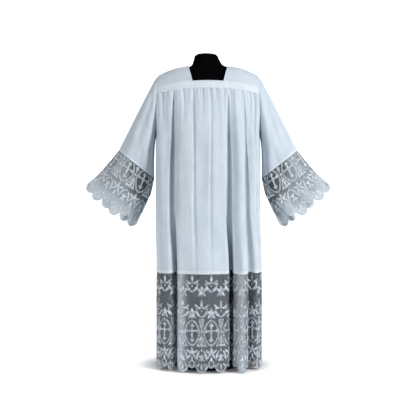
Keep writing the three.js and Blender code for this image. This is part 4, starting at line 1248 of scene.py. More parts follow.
def build_shoulder(name, mirror):
    """The yoke piece over a shoulder"""
    rows, columns = SHOULDER_ROWS, SHOULDER_COLUMNS
    across = np.linspace(0, 1, rows)[:, None] * np.ones((1, columns))
    over = mirror * np.linspace(-1, 1, columns)[None, :] * np.ones((rows, 1))
    points = mirrored(shoulder_point(across, over), mirror)
    outs = mirrored(shoulder_out(across, over), mirror)
    uv = sheet_uv(np.linspace(0, SHOULDER_WIDTH, columns), np.linspace(0, SHOULDER_LENGTH, rows))
    return cloth_piece(f"{name}_shoulder_cloth", (points, outs, uv), cloth_material, f"{name}_shoulder")


def ring_order(points, outs, mirror):
    """Columns that run to the right seen from outside, on either side of the garment"""
    if mirror > 0:
        return points[:, ::-1], outs[:, ::-1]
    return mirrored(points, -1), mirrored(outs, -1)


def sleeve_grid(alongs, lifts, shifts, flat_down, mirror):
    """The sleeve's grid at some stations, with each row lifted, and shifted away from the body"""
    points, outs = stacked([sleeve_ring(a, SLEEVE_SHARES, sleeve_detail) for a in alongs])
    points = points + outs * lifts
    points[..., 0] += shifts
    return (*ring_order(points, outs, mirror), sheet_uv(SLEEVE_SHARES * SLEEVE_GIRTH, flat_down))


def build_sleeve(name, mirror):
    """The sleeve from the armhole to the cuff's lace, as one tube"""
    fine = np.linspace(0, SLEEVE_FINE_UNTIL, 12)[:-1]
    alongs = np.concatenate([fine, np.linspace(SLEEVE_FINE_UNTIL, 1 - RING_SEAM, 84)])
    shifts = np.where(alongs == 0, ARMHOLE_GAP, 0)[:, None]
    grid = sleeve_grid(alongs, 0.0, shifts, alongs * SLEEVE_LENGTH, mirror)
    return cloth_piece(f"{name}_sleeve_cloth", grid, cloth_material, f"{name}_sleeve", is_tube=True)


def sleeve_hem(name, mirror):
    """The sleeve's end turned over the lace seam"""
    alongs = 1 - TURNED_BEFORE_LACE
    grid = sleeve_grid(alongs, TURNED_LIFTS, 0, alongs * SLEEVE_LENGTH, mirror)
    return cloth_piece(f"{name}_sleeve_hem", grid, hem_material, thickness=FINE_WALL, is_tube=True)


# Lace ground


STEPS_PER_REPEAT = 24
NET_UNDER = 0.5  # how far the net lies under the surface that the raised pattern is laid on
HEM_NET_WIDTH = 1250
HEM_NET_ROWS = 80
HEM_NET_OVER_SEAM = 3
CUFF_NET_WIDTH = 650
CUFF_NET_ROWS = 44
CUFF_NET_START = 0.99
HEM_OVERLAPS = {  # where nets overlap in a fold: place, half-width and amount
    "front": [(-135, 25, 0.9), (155, 22, 0.9)],
    "back": [(-92, 26, 0.8), (172, 24, 0.8), (-228, 20, 0.6)],
}
# The cuff is in shade near the body and away from the scallops: both pairs rise from light to
# shade, so places and stations are counted backwards
CUFF_SHADE_ACROSS = (-415, -365)
CUFF_SHADE_ALONG = (-1.7, -1.45)
CUFF_EDGE_ALONG = (1.7, 1.86)  # the net closes toward the scallops


def hem_net(side_name):
    """One layer of net from the seam to the scallops"""
    shares = np.linspace(0, 1, REPEATS_PER_PANEL * STEPS_PER_REPEAT + 1)
    rise = scallop_rise(shares * REPEATS_PER_PANEL - HEM_PATTERN_SHIFT)
    low = HEM_LOW + rise
    loop = (shares + (side_name == "back")) / 2
    down = np.linspace(0, 1, HEM_NET_ROWS)[:, None]
    level = (LACE_LEVEL + HEM_NET_OVER_SEAM) * (1 - down) + low[None, :] * down
    points = hem_surface.at(loop[None, :] + 0 * level, level, 0 * level - NET_UNDER)
    uv = np.stack([np.broadcast_to(shares * HEM_NET_WIDTH, level.shape), level], -1).reshape(-1, 2)
    faces = grid_quads(*level.shape)
    dense = np.zeros(level.shape)
    for x, half_width, amount in HEM_OVERLAPS[side_name]:
        dense += amount * np.exp(-(((points[..., 0] - x) / half_width) ** 2))
    values = {"Shade": np.ones(level.size), "Dense": np.minimum(dense, 1).ravel()}
    points = points.reshape(-1, 3)
    piece = make_piece(f"{side_name}_hem_net", points, faces, hem_ground, uv, None, values)
    return finish_piece(piece, "lace", f"{side_name}_hem_lace")


def cuff_net(name, mirror):
    """One layer of net from the sleeve's seam to the scallops"""
    columns = REPEATS_PER_CUFF * STEPS_PER_REPEAT
    shares = np.arange(columns) / columns
    rise = scallop_rise(shares * REPEATS_PER_CUFF - CUFF_PATTERN_SHIFT) / CUFF_LACE_DEPTH
    down = np.linspace(0, 1, CUFF_NET_ROWS)[:, None]
    along = CUFF_NET_START * (1 - down) + (2 - rise[None, :]) * down
    points = cuff_surface.at(shares[None, :] + 0 * along, along, 0 * along - NET_UNDER)
    points, _ = ring_order(points, points, mirror)
    ordered = shares[::-1] if mirror > 0 else shares
    uv = np.stack([np.broadcast_to(ordered * CUFF_NET_WIDTH, along.shape), along * CUFF_LACE_DEPTH], -1)
    faces = grid_quads(*along.shape, is_tube=True)
    near_body = smooth_step(-np.abs(points[..., 0]), *CUFF_SHADE_ACROSS)
    values = {
        "Shade": (1 - near_body * smooth_step(-along, *CUFF_SHADE_ALONG)).ravel(),
        "Dense": smooth_step(along, *CUFF_EDGE_ALONG).ravel(),
    }
    points, uv = points.reshape(-1, 3), uv.reshape(-1, 2)
    piece = make_piece(f"{name}_cuff_net", points, faces, cuff_ground, uv, None, values)
    return finish_piece(piece, "lace", f"{name}_cuff_lace")


# Raised pattern: strokes charted on one repeat. Each is a line of (across, down, width) in
# millimetres. across is 0 in a medallion's middle and 47.5 between two medallions, down is from the
# cloth seam. Strokes in BOTH are also drawn mirrored about the medallion, strokes in BETWEEN are
# charted from the place between two medallions and mirrored about it, and ONE and ONE_BETWEEN once.

REPEAT = 95.0
BETWEEN_AT = REPEAT / 2

ONE = [
    [(0, 3, 1.5), (0, 12, 8), (0, 22, 12), (0, 32, 9), (0, 40, 3)],
    [(0, 49, 1.5), (0, 56, 6.5), (0, 63, 1.5)],
    [(0, 160, 2), (0, 169, 12), (0, 181, 16), (0, 190, 8)],
    [(0, 190, 4), (0, 203, 4), (0, 213, 2)],
    [(0, 246, 7), (0, 268, 8), (0, 290, 7), (0, 308, 7)],
    [(-27, 268, 7), (0, 268, 8), (27, 268, 7)],
    [(-12, 244, 1), (-6, 243, 9), (0, 243, 12), (6, 243, 9), (12, 244, 1)],
    [(0, 230, 1), (0, 237, 10), (0, 246, 11), (0, 251, 6)],
    [(-12, 310, 1), (-6, 311, 9), (0, 311, 12), (6, 311, 9), (12, 310, 1)],
    [(0, 324, 1), (0, 317, 10), (0, 308, 11), (0, 303, 6)],
    [(0, 345, 2), (0, 354, 10), (0, 364, 12), (0, 374, 7)],
    [(0, 388, 2), (0, 397, 10), (0, 407, 9), (0, 416, 2)],
]
BOTH = [
    [(2, 40, 4), (10, 43, 9), (19, 40, 12), (27, 33, 8), (31, 26, 2)],
    [(20, 44, 6), (29, 48, 9), (36, 46, 3)],
    [(24, 50, 4), (24, 60, 11), (17, 71, 13), (7, 79, 9), (1, 85, 4)],
    [(0, 188, 8), (9, 182, 13), (17, 178, 9), (22, 175, 2)],
    [(0, 191, 7), (9, 197, 13), (15, 205, 7), (18, 210, 2)],
    [(23, 268, 5), (26, 261, 9), (30, 268, 3)],
    [(23, 268, 5), (26, 275, 9), (30, 268, 3)],
    [(4, 372, 6), (13, 368, 12), (22, 362, 9), (28, 357, 2)],
    [(3, 376, 6), (10, 383, 11), (16, 392, 8), (19, 399, 2)],
    [(5, 408, 2), (11, 416, 6), (12, 426, 2)],
]
ONE_BETWEEN = [
    [(0, 55, 2), (0, 64, 12), (0, 76, 16), (0, 86, 8)],
    [(0, 86, 4), (0, 98, 4), (0, 108, 2)],
    [(0, 121, 1.5), (0, 131, 8), (0, 142, 12), (0, 152, 8), (0, 158, 3)],
    [(0, 167, 1.5), (0, 174, 6.5), (0, 181, 1.5)],
    [(-13, 212, 2), (-6, 214, 6), (6, 214, 6), (13, 212, 2)],
    [(0, 219, 9), (0, 234, 8), (0, 250, 4)],
    [(0, 258, 1), (0, 272, 9), (0, 286, 1)],
    [(-9, 272, 1), (0, 272, 9), (9, 272, 1)],
    [(0, 292, 3), (0, 308, 7), (0, 322, 11), (0, 332, 9)],
    [(-24, 340, 2), (-12, 337, 8), (0, 336, 10), (12, 337, 8), (24, 340, 2)],
    [(0, 352, 2), (0, 358, 9), (0, 366, 2)],
    [(0, 376, 2), (0, 387, 10), (0, 398, 12), (0, 410, 4)],
    [(0, 424, 2), (0, 434, 11), (0, 444, 8), (0, 453, 1)],
]
BETWEEN = [
    [(0, 84, 8), (10, 76, 14), (19, 70, 9), (26, 66, 2)],
    [(0, 86, 7), (9, 92, 13), (16, 100, 7), (19, 105, 2)],
    [(2, 158, 4), (11, 160, 9), (21, 155, 11), (29, 148, 7), (33, 142, 2)],
    [(21, 161, 6), (27, 165, 8), (31, 165, 3)],
    [(25, 169, 4), (25, 179, 11), (18, 190, 13), (8, 198, 9), (1, 204, 4)],
    [(10, 214, 4), (8, 232, 5), (4, 250, 4), (0, 262, 2)],
    [(0, 284, 2.5), (5, 300, 5), (11, 318, 6), (19, 334, 6), (25, 342, 3)],
    [(8, 360, 3), (15, 370, 9), (20, 382, 10), (22, 395, 8), (26, 406, 3)],
    [(0, 392, 5), (7, 388, 9), (12, 382, 3)],
    [(0, 402, 5), (7, 403, 9), (13, 409, 3)],
    [(10, 421, 2), (16, 428, 7), (17, 437, 2)],
]
CORD = 3.3  # width of the medallion's two cords and of the edge's
MEDALLION = {
    "middle": 277.5,
    "half_width": 40.5,
    "half_height": 63,
    "power": 1.72,
    "gap": 6.9,  # between its outline and the inner cord
    "taper": 1.15,  # how much more an inset counts at its points
}
MEDALLION_STEPS = 60
SCALLOP_STEPS = 18
EDGE_INSET = 1.8
EDGE_CORD_GAP = 7.2
STROKE_STEP = 5.5
RAISED_BASE = -0.35  # a stroke's lower face, just under the net
RAISED_LEAST = 0.45
RAISED_PER_WIDTH = 0.07
RAISED_MOST = 1.15
LEAST_STROKE_WIDTH = 0.8
STROKE_SHARES = np.array([-0.5, -0.26, 0.26, 0.5])
PATTERN_FROM_SEAM = 1
CUFF_FROM = HEM_LACE_DEPTH - CUFF_LACE_DEPTH


def spline(points):
    """Catmull-Rom line through the points, in even steps, with the ends repeated"""
    p = np.asarray(points, float)
    ends = np.vstack([2 * p[0] - p[1], p, 2 * p[-1] - p[-2]])
    length = np.linalg.norm(np.diff(p[:, :2], axis=0), axis=1)
    pieces = []
    for i, span in enumerate(length):
        steps = max(1, int(round(span / STROKE_STEP)))
        t = (np.arange(steps) / steps)[:, None]
        a, b, c, d = ends[i : i + 4]
        square = (2 * a - 5 * b + 4 * c - d) * t**2
        cube = (3 * b - a - 3 * c + d) * t**3
        pieces.append(0.5 * (2 * b + (c - a) * t + square + cube))
    line = np.vstack(pieces + [p[-1:]])
    line[:, 2] = np.maximum(line[:, 2], LEAST_STROKE_WIDTH)
    return line


def medallion_ring(inset):
    """|x / a|^p + |y / b|^p = 1, a closed pointed oval"""
    turn = np.linspace(0, 2 * np.pi, MEDALLION_STEPS + 1)
    power = 2 / MEDALLION["power"]
    half_width = MEDALLION["half_width"] - inset
    half_height = MEDALLION["half_height"] - MEDALLION["taper"] * inset
    x = half_width * np.sign(np.sin(turn)) * np.abs(np.sin(turn)) ** power
    y = MEDALLION["middle"] - half_height * np.sign(np.cos(turn)) * np.abs(np.cos(turn)) ** power
    return np.stack([x, y, np.full_like(x, CORD)], -1)


def scallop_arc(scallop, inset):
    """Half an ellipse along the lace's edge, drawn in by inset"""
    centre, half_width, drop = scallop
    turn = np.linspace(0, np.pi, SCALLOP_STEPS + 1)
    edge = HEM_LACE_DEPTH - LARGE_SCALLOP[2]
    at = REPEAT * (centre - 0.5)
    x = at - (half_width * REPEAT - inset) * np.cos(turn)
    y = edge + (drop - inset) * np.sin(turn)
    return np.stack([x, y, np.full_like(x, CORD)], -1)


def pattern_strokes():
    """All strokes of one repeat, as sampled lines of (across, down, width)"""
    flip, shift = np.array([-1, 1, 1]), np.array([BETWEEN_AT, 0, 0])
    lines = [spline(s) for s in ONE]
    lines += [spline(s) * k for s in BOTH for k in (1, flip)]
    lines += [spline(s) + shift for s in ONE_BETWEEN]
    lines += [spline(s) * k + shift for s in BETWEEN for k in (1, flip)]
    lines += [medallion_ring(inset) for inset in (CORD / 2, MEDALLION["gap"])]
    for inset in (EDGE_INSET, EDGE_CORD_GAP):
        lines += [scallop_arc(scallop, inset) for scallop in (LARGE_SCALLOP, SMALL_SCALLOP)]
    return lines


def below_seam(line, top):
    """The parts of a line that hang below top"""
    shown = line[:, 1] >= top
    marks = np.flatnonzero(np.diff(np.concatenate([[0], shown.astype(int), [0]])))
    return [line[a:b] for a, b in zip(marks[::2], marks[1::2]) if b - a > 1]


def stroke_mesh(line):
    """A domed band along a line: (across, down, height, uv) of 4 points a step, and its quads"""
    centre, width = line[:, :2], line[:, 2]
    direction = np.gradient(centre, axis=0)
    direction /= np.maximum(np.linalg.norm(direction, axis=1, keepdims=True), 1e-9)
    side = np.stack([-direction[:, 1], direction[:, 0]], -1)
    top = np.minimum(RAISED_LEAST + RAISED_PER_WIDTH * width, RAISED_MOST)
    flat = centre[:, None, :] + side[:, None, :] * (width[:, None] * STROKE_SHARES)[..., None]
    low = np.full_like(top, RAISED_BASE)
    height = np.stack([low, top, top, low], -1)
    along = np.concatenate([[0], np.cumsum(np.linalg.norm(np.diff(centre, axis=0), axis=1))])
    uv = np.stack(np.broadcast_arrays(along[:, None], 2 * STROKE_SHARES[None, :]), -1)
    count = len(line)
    index = np.arange(count * 4).reshape(count, 4)
    ring = np.concatenate([index, index[:, :1]], 1)
    sides = np.stack([ring[:-1, :-1], ring[:-1, 1:], ring[1:, 1:], ring[1:, :-1]], -1).reshape(-1, 4)
    caps = np.stack([index[0, ::-1], index[-1]])
    is_bottom = np.tile([False, False, False, True], count - 1)
    flat_faces = np.concatenate([is_bottom, [True, True]])
    return flat.reshape(-1, 2), height.ravel(), uv.reshape(-1, 2), np.vstack([sides, caps]), flat_faces


def joined_strokes(top):
    """All strokes below top as one chart of points, heights, uv, quads and flat marks"""
    made, start = [], 0
    for line in pattern_strokes():
        for part in below_seam(line, top):
            places, height, uv, quads, flat = stroke_mesh(part)
            made.append((places, height, uv, quads + start, flat))
            start += len(places)
    return [np.concatenate(column) for column in zip(*made)]


def repeated(chart, repeats, surface_at):
    """The chart laid on the lace once for each repeat: points, quads, flat marks and uv"""
    places, height, uv, quads, flat = chart
    points = [surface_at(r, places, height) for r in repeats]
    faces = [quads + i * len(places) for i in range(len(points))]
    count = len(points)
    return np.concatenate(points), np.concatenate(faces), np.tile(flat, count), np.tile(uv, (count, 1))


def fine_piece(name, made, material, slot, mirror=-1):
    """A piece of fine work from its points, faces, flat marks and uv, turned over where it's mirrored"""
    points, faces, flat, uv = made
    if mirror > 0:
        faces = faces[:, ::-1]
    return finish_piece(make_piece(name, points, faces, material, uv, flat), slot)


def hem_pattern(side_name):
    """The raised pattern of one side's hem"""
    start = REPEATS_PER_PANEL * (side_name == "back")

    def surface_at(repeat, places, height):
        across = repeat + 0.5 + HEM_PATTERN_SHIFT + places[:, 0] / REPEAT
        share = across / (2 * REPEATS_PER_PANEL)
        return hem_surface.at(share, LACE_LEVEL - places[:, 1], height)

    repeats = np.arange(start, start + REPEATS_PER_PANEL)
    made = repeated(joined_strokes(PATTERN_FROM_SEAM), repeats, surface_at)
    return fine_piece(f"{side_name}_hem_pattern", made, raised, "lace")


def cuff_pattern(name, mirror):
    """The lower part of the same pattern, round a cuff"""

    def surface_at(repeat, places, height):
        share = (repeat + 0.5 + CUFF_PATTERN_SHIFT + places[:, 0] / REPEAT) / REPEATS_PER_CUFF
        along = 1 + (places[:, 1] - CUFF_FROM) / CUFF_LACE_DEPTH
        return mirrored(cuff_surface.at(share, along, height), mirror)

    chart = joined_strokes(CUFF_FROM + PATTERN_FROM_SEAM)
    made = repeated(chart, np.arange(REPEATS_PER_CUFF), surface_at)
    return fine_piece(f"{name}_cuff_pattern", made, cuff_raised, "lace", mirror)


# Corded edges, welts and stitches: rows of (across, height over the cloth), in millimetres
CORD_ROWS = [(2.7, 0.05), (2.3, 0.6), (1.3, 1.0), (0, 1.15), (-1.3, 1.0), (-2.3, 0.6), (-2.7, 0.05)]
CORD_STEPS = 120
WELT_ROWS = [(-2.4, 0.1), (-2.0, 0.8), (-1.0, 1.2), (0.3, 1.3), (1.6, 1.1), (2.6, 0.6), (3.0, 0.05)]
STITCH = {"pitch": 3.4, "length": 2.5, "width": 0.75, "narrow": 0.4}
BAND_STITCH_LEVELS = (GATHER_LEVEL + 4.6, BAND_LEVEL - 8.4)
HEM_STITCH_LEVEL = LACE_LEVEL + 11
SLEEVE_STITCH_ALONG = 1 - 0.025
ON_TURNED_HEM = 0.95  # height of a turned hem over the cloth
BAND_SURFACE_BEYOND = 4
BAND_SURFACE_ROWS = 21
BAND_SURFACE_COLUMNS = 240


def merged(parts):
    """Several lots of points, faces, flat marks and uv as one lot"""
    start, shifted = 0, []
    for points, faces, flat, uv in parts:
        shifted.append((points, faces + start, flat, uv))
        start += len(points)
    return [np.concatenate(column) for column in zip(*shifted)]


def band_surface(side_name):
    """The band and a little of the cloth above and below it"""
    low, high = GATHER_LEVEL - BAND_SURFACE_BEYOND, BAND_LEVEL + BAND_SURFACE_BEYOND
    levels = np.linspace(low, high, BAND_SURFACE_ROWS)
    share = np.linspace(0, 1, BAND_SURFACE_COLUMNS + 1)
    points, outs = stacked([band_row(side_name, level, share) for level in levels])
    return Sampler(points, outs, levels, False)


def corded_edge(surface, level, start, stop):
    """A narrow cord under cloth along one level of a surface, between two shares of its width"""
    drops, lifts = np.array(CORD_ROWS).T[:, :, None]
    shares = np.linspace(start, stop, CORD_STEPS)[None, :] + 0 * drops
    levels = level + drops + 0 * shares
    points = surface.at(shares, levels, lifts + 0 * levels)
    outs = points - surface.at(shares, levels, lifts - 1 + 0 * levels)
    uv = sheet_uv(shares[0] * BAND_LENGTH, level + drops[:, 0])
    return (*wall(points, outs, FINE_WALL), uv)


def band_cords(side_name):
    """Corded edges: one over the gathers, two from the neck's corners to the armholes"""
    surface = band_surfaces[side_name]
    neck_share = math.acos(SIDES[side_name]["neck_corner"] / armhole_edge(BAND_LEVEL)[0]) / math.pi
    parts = [
        corded_edge(surface, GATHER_LEVEL, 0, 1),
        corded_edge(surface, BAND_LEVEL, 0, neck_share),
        corded_edge(surface, BAND_LEVEL, 1 - neck_share, 1),
    ]
    return fine_piece(f"{side_name}_band_cords", merged(parts), hem_material, "cloth")


def armhole_welt(name, mirror):
    """The seam round the armhole, pressed flat"""
    across, lifts = np.array(WELT_ROWS).T
    shifts = np.minimum(across, 0)[:, None] + ARMHOLE_GAP / 2
    alongs = np.maximum(across, 0) / SLEEVE_LENGTH
    grid = sleeve_grid(alongs, lifts[:, None, None], shifts, across, mirror)
    piece_name = f"{name}_armhole_welt"
    return cloth_piece(piece_name, grid, cloth_material, thickness=FINE_WALL, is_tube=True)


def stitch_run(length, place_at):
    """Stitches in a row of a length. place_at gives points for shares, steps down and heights"""
    half, width = STITCH["length"] / 2, STITCH["width"]
    end_width = STITCH["narrow"] * width
    line = np.array([(-half, 0, end_width), (0, 0, width), (half, 0, end_width)])
    places, height, uv, quads, flat = stroke_mesh(line)
    count = int(length / STITCH["pitch"])
    middle = (np.arange(count)[:, None] + 0.5) / count
    shares = middle + places[None, :, 0] / length
    points = place_at(shares, 0 * middle + places[None, :, 1], 0 * middle + height[None, :])
    faces = quads[None] + (len(places) * np.arange(count))[:, None, None]
    return points.reshape(-1, 3), faces.reshape(-1, 4), np.tile(flat, count), np.tile(uv, (count, 1))


def band_stitches(side_name):
    """Two rows along the band, spaced evenly from side to side"""
    surface = band_surfaces[side_name]

    def on_level(level):
        def place_at(share, down, height):
            even = np.arccos(np.clip(1 - 2 * share, -1, 1)) / np.pi
            return surface.at(even, level - down, height)

        return place_at

    length = 2 * armhole_edge(GATHER_LEVEL)[0]
    made = merged([stitch_run(length, on_level(z)) for z in BAND_STITCH_LEVELS])
    return fine_piece(f"{side_name}_band_stitches", made, sewing, "cloth")


def hem_stitches():
    """One row round the turned hem, front and back"""

    def place_at(share, down, height):
        return hem_surface.at(share, HEM_STITCH_LEVEL - down, height + ON_TURNED_HEM)

    made = stitch_run(2 * REPEATS_PER_PANEL * REPEAT, place_at)
    return fine_piece("hem_stitches", made, sewing, "cloth")


def sleeve_stitches(name, mirror):
    """One row round the sleeve's turned hem"""

    def place_at(share, down, height):
        along = SLEEVE_STITCH_ALONG + down / SLEEVE_LENGTH
        return mirrored(cuff_surface.at(share, along, height + ON_TURNED_HEM), mirror)

    made = stitch_run(REPEATS_PER_CUFF * REPEAT, place_at)
    return fine_piece(f"{name}_sleeve_stitches", made, sewing, "cloth", mirror)


# Neck binding and form
BINDING_SECTION = [(0.25, 0), (0.9, 0.1), (1.3, 0.9), (1.4, 3), (1.2, 5.2), (0.7, 6), (0.25, 6.1)]
BINDING_LENGTH = 720
BINDING_WIDTH = 12
BINDING_REACH = 0.03  # share of a shoulder's width over which its slope is taken
BINDING_DROP = 6  # the same on the bands, in millimetres
BINDING_SHOULDER_STEPS = 37
BINDING_BAND_STEPS = 25
FORM_SHOULDER_DEPTHS = (61, 69)  # half-depth at the neck and at the armhole
FORM_SHOULDER_POWERS = (1.1, 1.6)
FORM_ROW = 14
FORM_COLUMNS = 120
ROUND_COLUMNS = 96
LID_SHARES = (0.02, 0.5)  # rings that close an end, over the end's own size
CAP_LOW = FORM_TOP + SEAM
# Profiles of (radius, z), from the top down
CAP_PROFILE = [
    (40, CAP_LOW + 5),
    (50.6, CAP_LOW + 5),
    (51.6, CAP_LOW + 4.5),
    (52, CAP_LOW + 3.6),
    (52, CAP_LOW),
]
POST_PROFILE = [(19, FORM_BOTTOM - SEAM), (19, 8.5), (20.5, 6.8), (21, 6.3)]
PLATE_PROFILE = [(150, 6), (168.6, 6), (169.7, 5.4), (170, 4.4), (170, 0)]


def tube_along(stations, section, name, material, uv_length):
    """A closed loop of stations (point, out, away) with the section's (height, width) points"""
    point, out, away = (np.array(column) for column in zip(*stations))
    shape = np.array(section)
    vertices = point[:, None] + out[:, None] * shape[None, :, :1] + away[:, None] * shape[None, :, 1:]
    count, sides = vertices.shape[:2]
    i, k = np.meshgrid(np.arange(count), np.arange(sides), indexing="ij")
    j, m = (i + 1) % count, (k + 1) % sides
    quads = np.stack([i * sides + k, i * sides + m, j * sides + m, j * sides + k], -1)
    widths = np.linspace(0, BINDING_WIDTH, sides)
    u, v = np.meshgrid(np.linspace(0, uv_length, count), widths, indexing="ij")
    uv = np.stack([u.ravel(), v.ravel()], -1)
    return make_piece(name, vertices.reshape(-1, 3), quads.reshape(-1, 4), material, uv)


def neck_binding():
    """The narrow binding round the square neck"""
    level = BAND_LEVEL - HALF_SEAM
    stations = []

    def down_the_band(side_name, x):
        lower = contour_point(side_name, level - BINDING_DROP, x)
        return unit(lower - contour_point(side_name, level, x))

    def shoulder_run(mirror, start, stop):
        for over in np.linspace(start, stop, BINDING_SHOULDER_STEPS):
            flat_over, neck = np.array([over]), np.array([0.0])
            edge = shoulder_point(neck, flat_over)[0]
            away = unit(shoulder_point(neck + BINDING_REACH, flat_over)[0] - edge)
            if abs(over) == 1:
                away = away + down_the_band("front" if over < 0 else "back", edge[0])
            out = shoulder_out(neck, flat_over)[0]
            stations.append(tuple(mirrored(v, mirror) for v in (edge, out, away)))

    def band_run(side_name, start, stop):
        for x in np.linspace(start, stop, BINDING_BAND_STEPS)[1:-1]:
            at = np.array([x])
            out = contour_out(side_name, level, at)[0]
            point = contour_point(side_name, level, at)[0]
            stations.append((point, out, down_the_band(side_name, at)[0]))

    back, front = SIDES["back"]["neck_corner"], SIDES["front"]["neck_corner"]
    shoulder_run(1, -1, 1)
    band_run("back", back, -back)
    shoulder_run(-1, 1, -1)
    band_run("front", -front, front)
    piece = tube_along(stations, BINDING_SECTION, "neck_binding_cloth", hem_material, BINDING_LENGTH)
    return finish_piece(piece, "cloth", "neck_binding")


def form_rows():
    """The form's sections with its shoulders, from the top down"""
    rows = list(FORM_SECTIONS)
    for across in FORM_SHOULDER_STATIONS:
        x, z = shoulder_line(across)
        half_depth = np.interp(across, (0, 1), FORM_SHOULDER_DEPTHS)
        power = np.interp(across, (0, 1), FORM_SHOULDER_POWERS)
        rows.append((z - CLOTH - FORM_CLEARANCE, min(x, SHOULDER_X - 2), half_depth, power, 0))
    return np.array(sorted(rows, key=lambda row: -row[0]), float)


def build_form():
    """The jersey trunk, with its sections' levels divided evenly between them"""
    rows = form_rows()
    spans = zip(rows[:-1, 0], rows[1:, 0])
    parts = [np.linspace(a, b, max(2, int((a - b) / FORM_ROW)))[:-1] for a, b in spans]
    z = np.append(np.concatenate(parts), rows[-1, 0])
    half_width, half_depth, power, lean = (from_table(rows[:, 0], rows[:, k], z) for k in range(1, 5))
    angle = 2 * np.pi * np.arange(FORM_COLUMNS) / FORM_COLUMNS
    across, deep = np.cos(angle)[None, :], -np.sin(angle)[None, :]
    grow = (2 / power)[:, None]
    x = lean[:, None] + half_width[:, None] * np.sign(across) * np.abs(across) ** grow
    y = half_depth[:, None] * np.sign(deep) * np.abs(deep) ** grow
    body = np.stack([x, y, np.broadcast_to(z[:, None], x.shape)], -1)
    return capped_tube("form_trunk_cover", body[:, ::-1], jersey, "form_cover", "form_trunk")


def capped_tube(name, rings, material, slot, node):
    """Rings stacked from the top down, closed by narrowing rings at both ends"""
    top_centre, low_centre = rings[0].mean(0), rings[-1].mean(0)
    shrink = np.array(LID_SHARES)[:, None, None]
    top = top_centre + (rings[0] - top_centre) * shrink
    low = low_centre + (rings[-1] - low_centre) * shrink[::-1]
    rings = np.concatenate([top, rings, low])
    count, columns = rings.shape[:2]
    quads = grid_quads(count, columns, is_tube=True)
    start = np.arange(0, columns // 2 - 1)
    lid = np.stack([start, start + 1, columns - 2 - start, columns - 1 - start], -1)
    base = lid[:, ::-1] + (count - 1) * columns
    faces = np.concatenate([quads, lid, base])
    piece = make_piece(name, rings.reshape(-1, 3), faces, material)
    return finish_piece(piece, slot, node)


def turned_piece(name, profile, centre_x, material, node):
    """A round piece from its profile of (radius, z), from the top down"""
    angle = -2 * np.pi * np.arange(ROUND_COLUMNS) / ROUND_COLUMNS
    rings = [
        np.stack([centre_x + r * np.cos(angle), -r * np.sin(angle), float(z) + 0 * angle], -1)
        for r, z in profile
    ]
    return capped_tube(name, np.array(rings), material, "form_metal", node)


hem_surface = hem_sampler()
cuff_surface = cuff_sampler()
band_surfaces = {side_name: band_surface(side_name) for side_name in SIDES}
build_form()
turned_piece("form_neck_cap_steel", CAP_PROFILE, NECK_LEAN, steel, "form_neck_cap")
turned_piece("form_post_steel", POST_PROFILE, 0, steel, "form_post")
turned_piece("form_base_plate_steel", PLATE_PROFILE, 0, steel, "form_base_plate")

for side_name in SIDES:
    build_panel(side_name)
    turned_hem(side_name)
    build_band(side_name)
    band_cords(side_name)
    band_stitches(side_name)
    hem_net(side_name)
    hem_pattern(side_name)
for name, mirror in (("right", 1), ("left", -1)):
    build_shoulder(name, mirror)
    build_sleeve(name, mirror)
    sleeve_hem(name, mirror)
    armhole_welt(name, mirror)
    sleeve_stitches(name, mirror)
    cuff_net(name, mirror)
    cuff_pattern(name, mirror)
neck_binding()
hem_stitches()


# Studio, in metres
FLOOR_RADIUS = 1.95
FLOOR_CENTRE_Y = 0.9
FLOOR_SIDES = 96
SCREEN_REACH = 6.0
SCREEN_Y = 5.0
SCREEN_LOW_EDGE = -3
WORLD_COLOUR = (0.98, 0.99, 1, 1)
# name, place, what it points at, size and power
SOFTBOXES = [
    ("right softbox", (2.9, -2.3, 2.4), (0, 0, 0.95), 0.9, 147),
    ("left softbox", (-3.0, -2.2, 2.1), (0, 0, 0.9), 1.0, 66),
]
CAMERA_PLACE = (0, -3.6, 0.785)
CAMERA_SENSOR = 36
CAMERA_LENS = 61.7


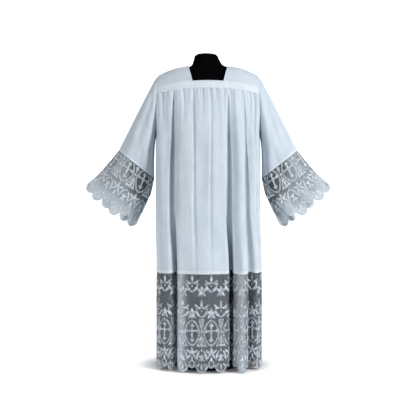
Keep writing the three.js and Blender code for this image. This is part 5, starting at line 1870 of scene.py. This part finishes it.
def area_light(name, place, aim, size, power):
    """A round softbox that points at a place"""
    data = bpy.data.lights.new(name, "AREA")
    data.shape = "DISK"
    data.size = size
    data.energy = power
    light = bpy.data.objects.new(name, data)
    light.location = place
    direction = Vector(np.array(aim) - np.array(place))
    light.rotation_euler = direction.to_track_quat("-Z", "Y").to_euler()
    bpy.context.scene.collection.objects.link(light)


def studio_sheet(name, corners, material):
    """One flat face that belongs to the studio"""
    mesh = bpy.data.meshes.new(name)
    mesh.from_pydata(corners, [], [list(range(len(corners)))])
    mesh.materials.append(material)
    sheet = bpy.data.objects.new(name, mesh)
    bpy.context.scene.collection.objects.link(sheet)


def build_floor():
    """A round white floor that ends in front of the form, below the camera's view"""
    turn = 2 * np.pi * np.arange(FLOOR_SIDES) / FLOOR_SIDES
    x, y = FLOOR_RADIUS * np.cos(turn), FLOOR_CENTRE_Y + FLOOR_RADIUS * np.sin(turn)
    studio_sheet("studio_floor", np.stack([x, y, 0 * turn], -1).tolist(), floor_material())


def build_backdrop():
    """A white glowing screen behind the form"""
    reach, low = SCREEN_REACH, SCREEN_LOW_EDGE
    edge = [(-reach, low), (reach, low), (reach, reach), (-reach, reach)]
    studio_sheet("studio_backdrop", [(x, SCREEN_Y, z) for x, z in edge], backdrop_material())


def build_world():
    """A faint white light from all round"""
    world = bpy.data.worlds.new("White studio")
    world.use_nodes = True
    back = world.node_tree.nodes["Background"]
    back.inputs["Color"].default_value = WORLD_COLOUR
    back.inputs["Strength"].default_value = WORLD_STRENGTH
    bpy.context.scene.world = world


def build_camera():
    """A level camera in front of the form"""
    data = bpy.data.cameras.new("camera")
    data.sensor_width = CAMERA_SENSOR
    data.lens = CAMERA_LENS
    camera = bpy.data.objects.new("camera", data)
    camera.location = CAMERA_PLACE
    camera.rotation_euler = (math.pi / 2, 0, 0)
    bpy.context.scene.collection.objects.link(camera)
    bpy.context.scene.camera = camera
    bpy.context.scene.view_settings.view_transform = "Standard"


build_floor()
build_backdrop()
build_world()
for softbox in SOFTBOXES:
    area_light(*softbox)
build_camera()
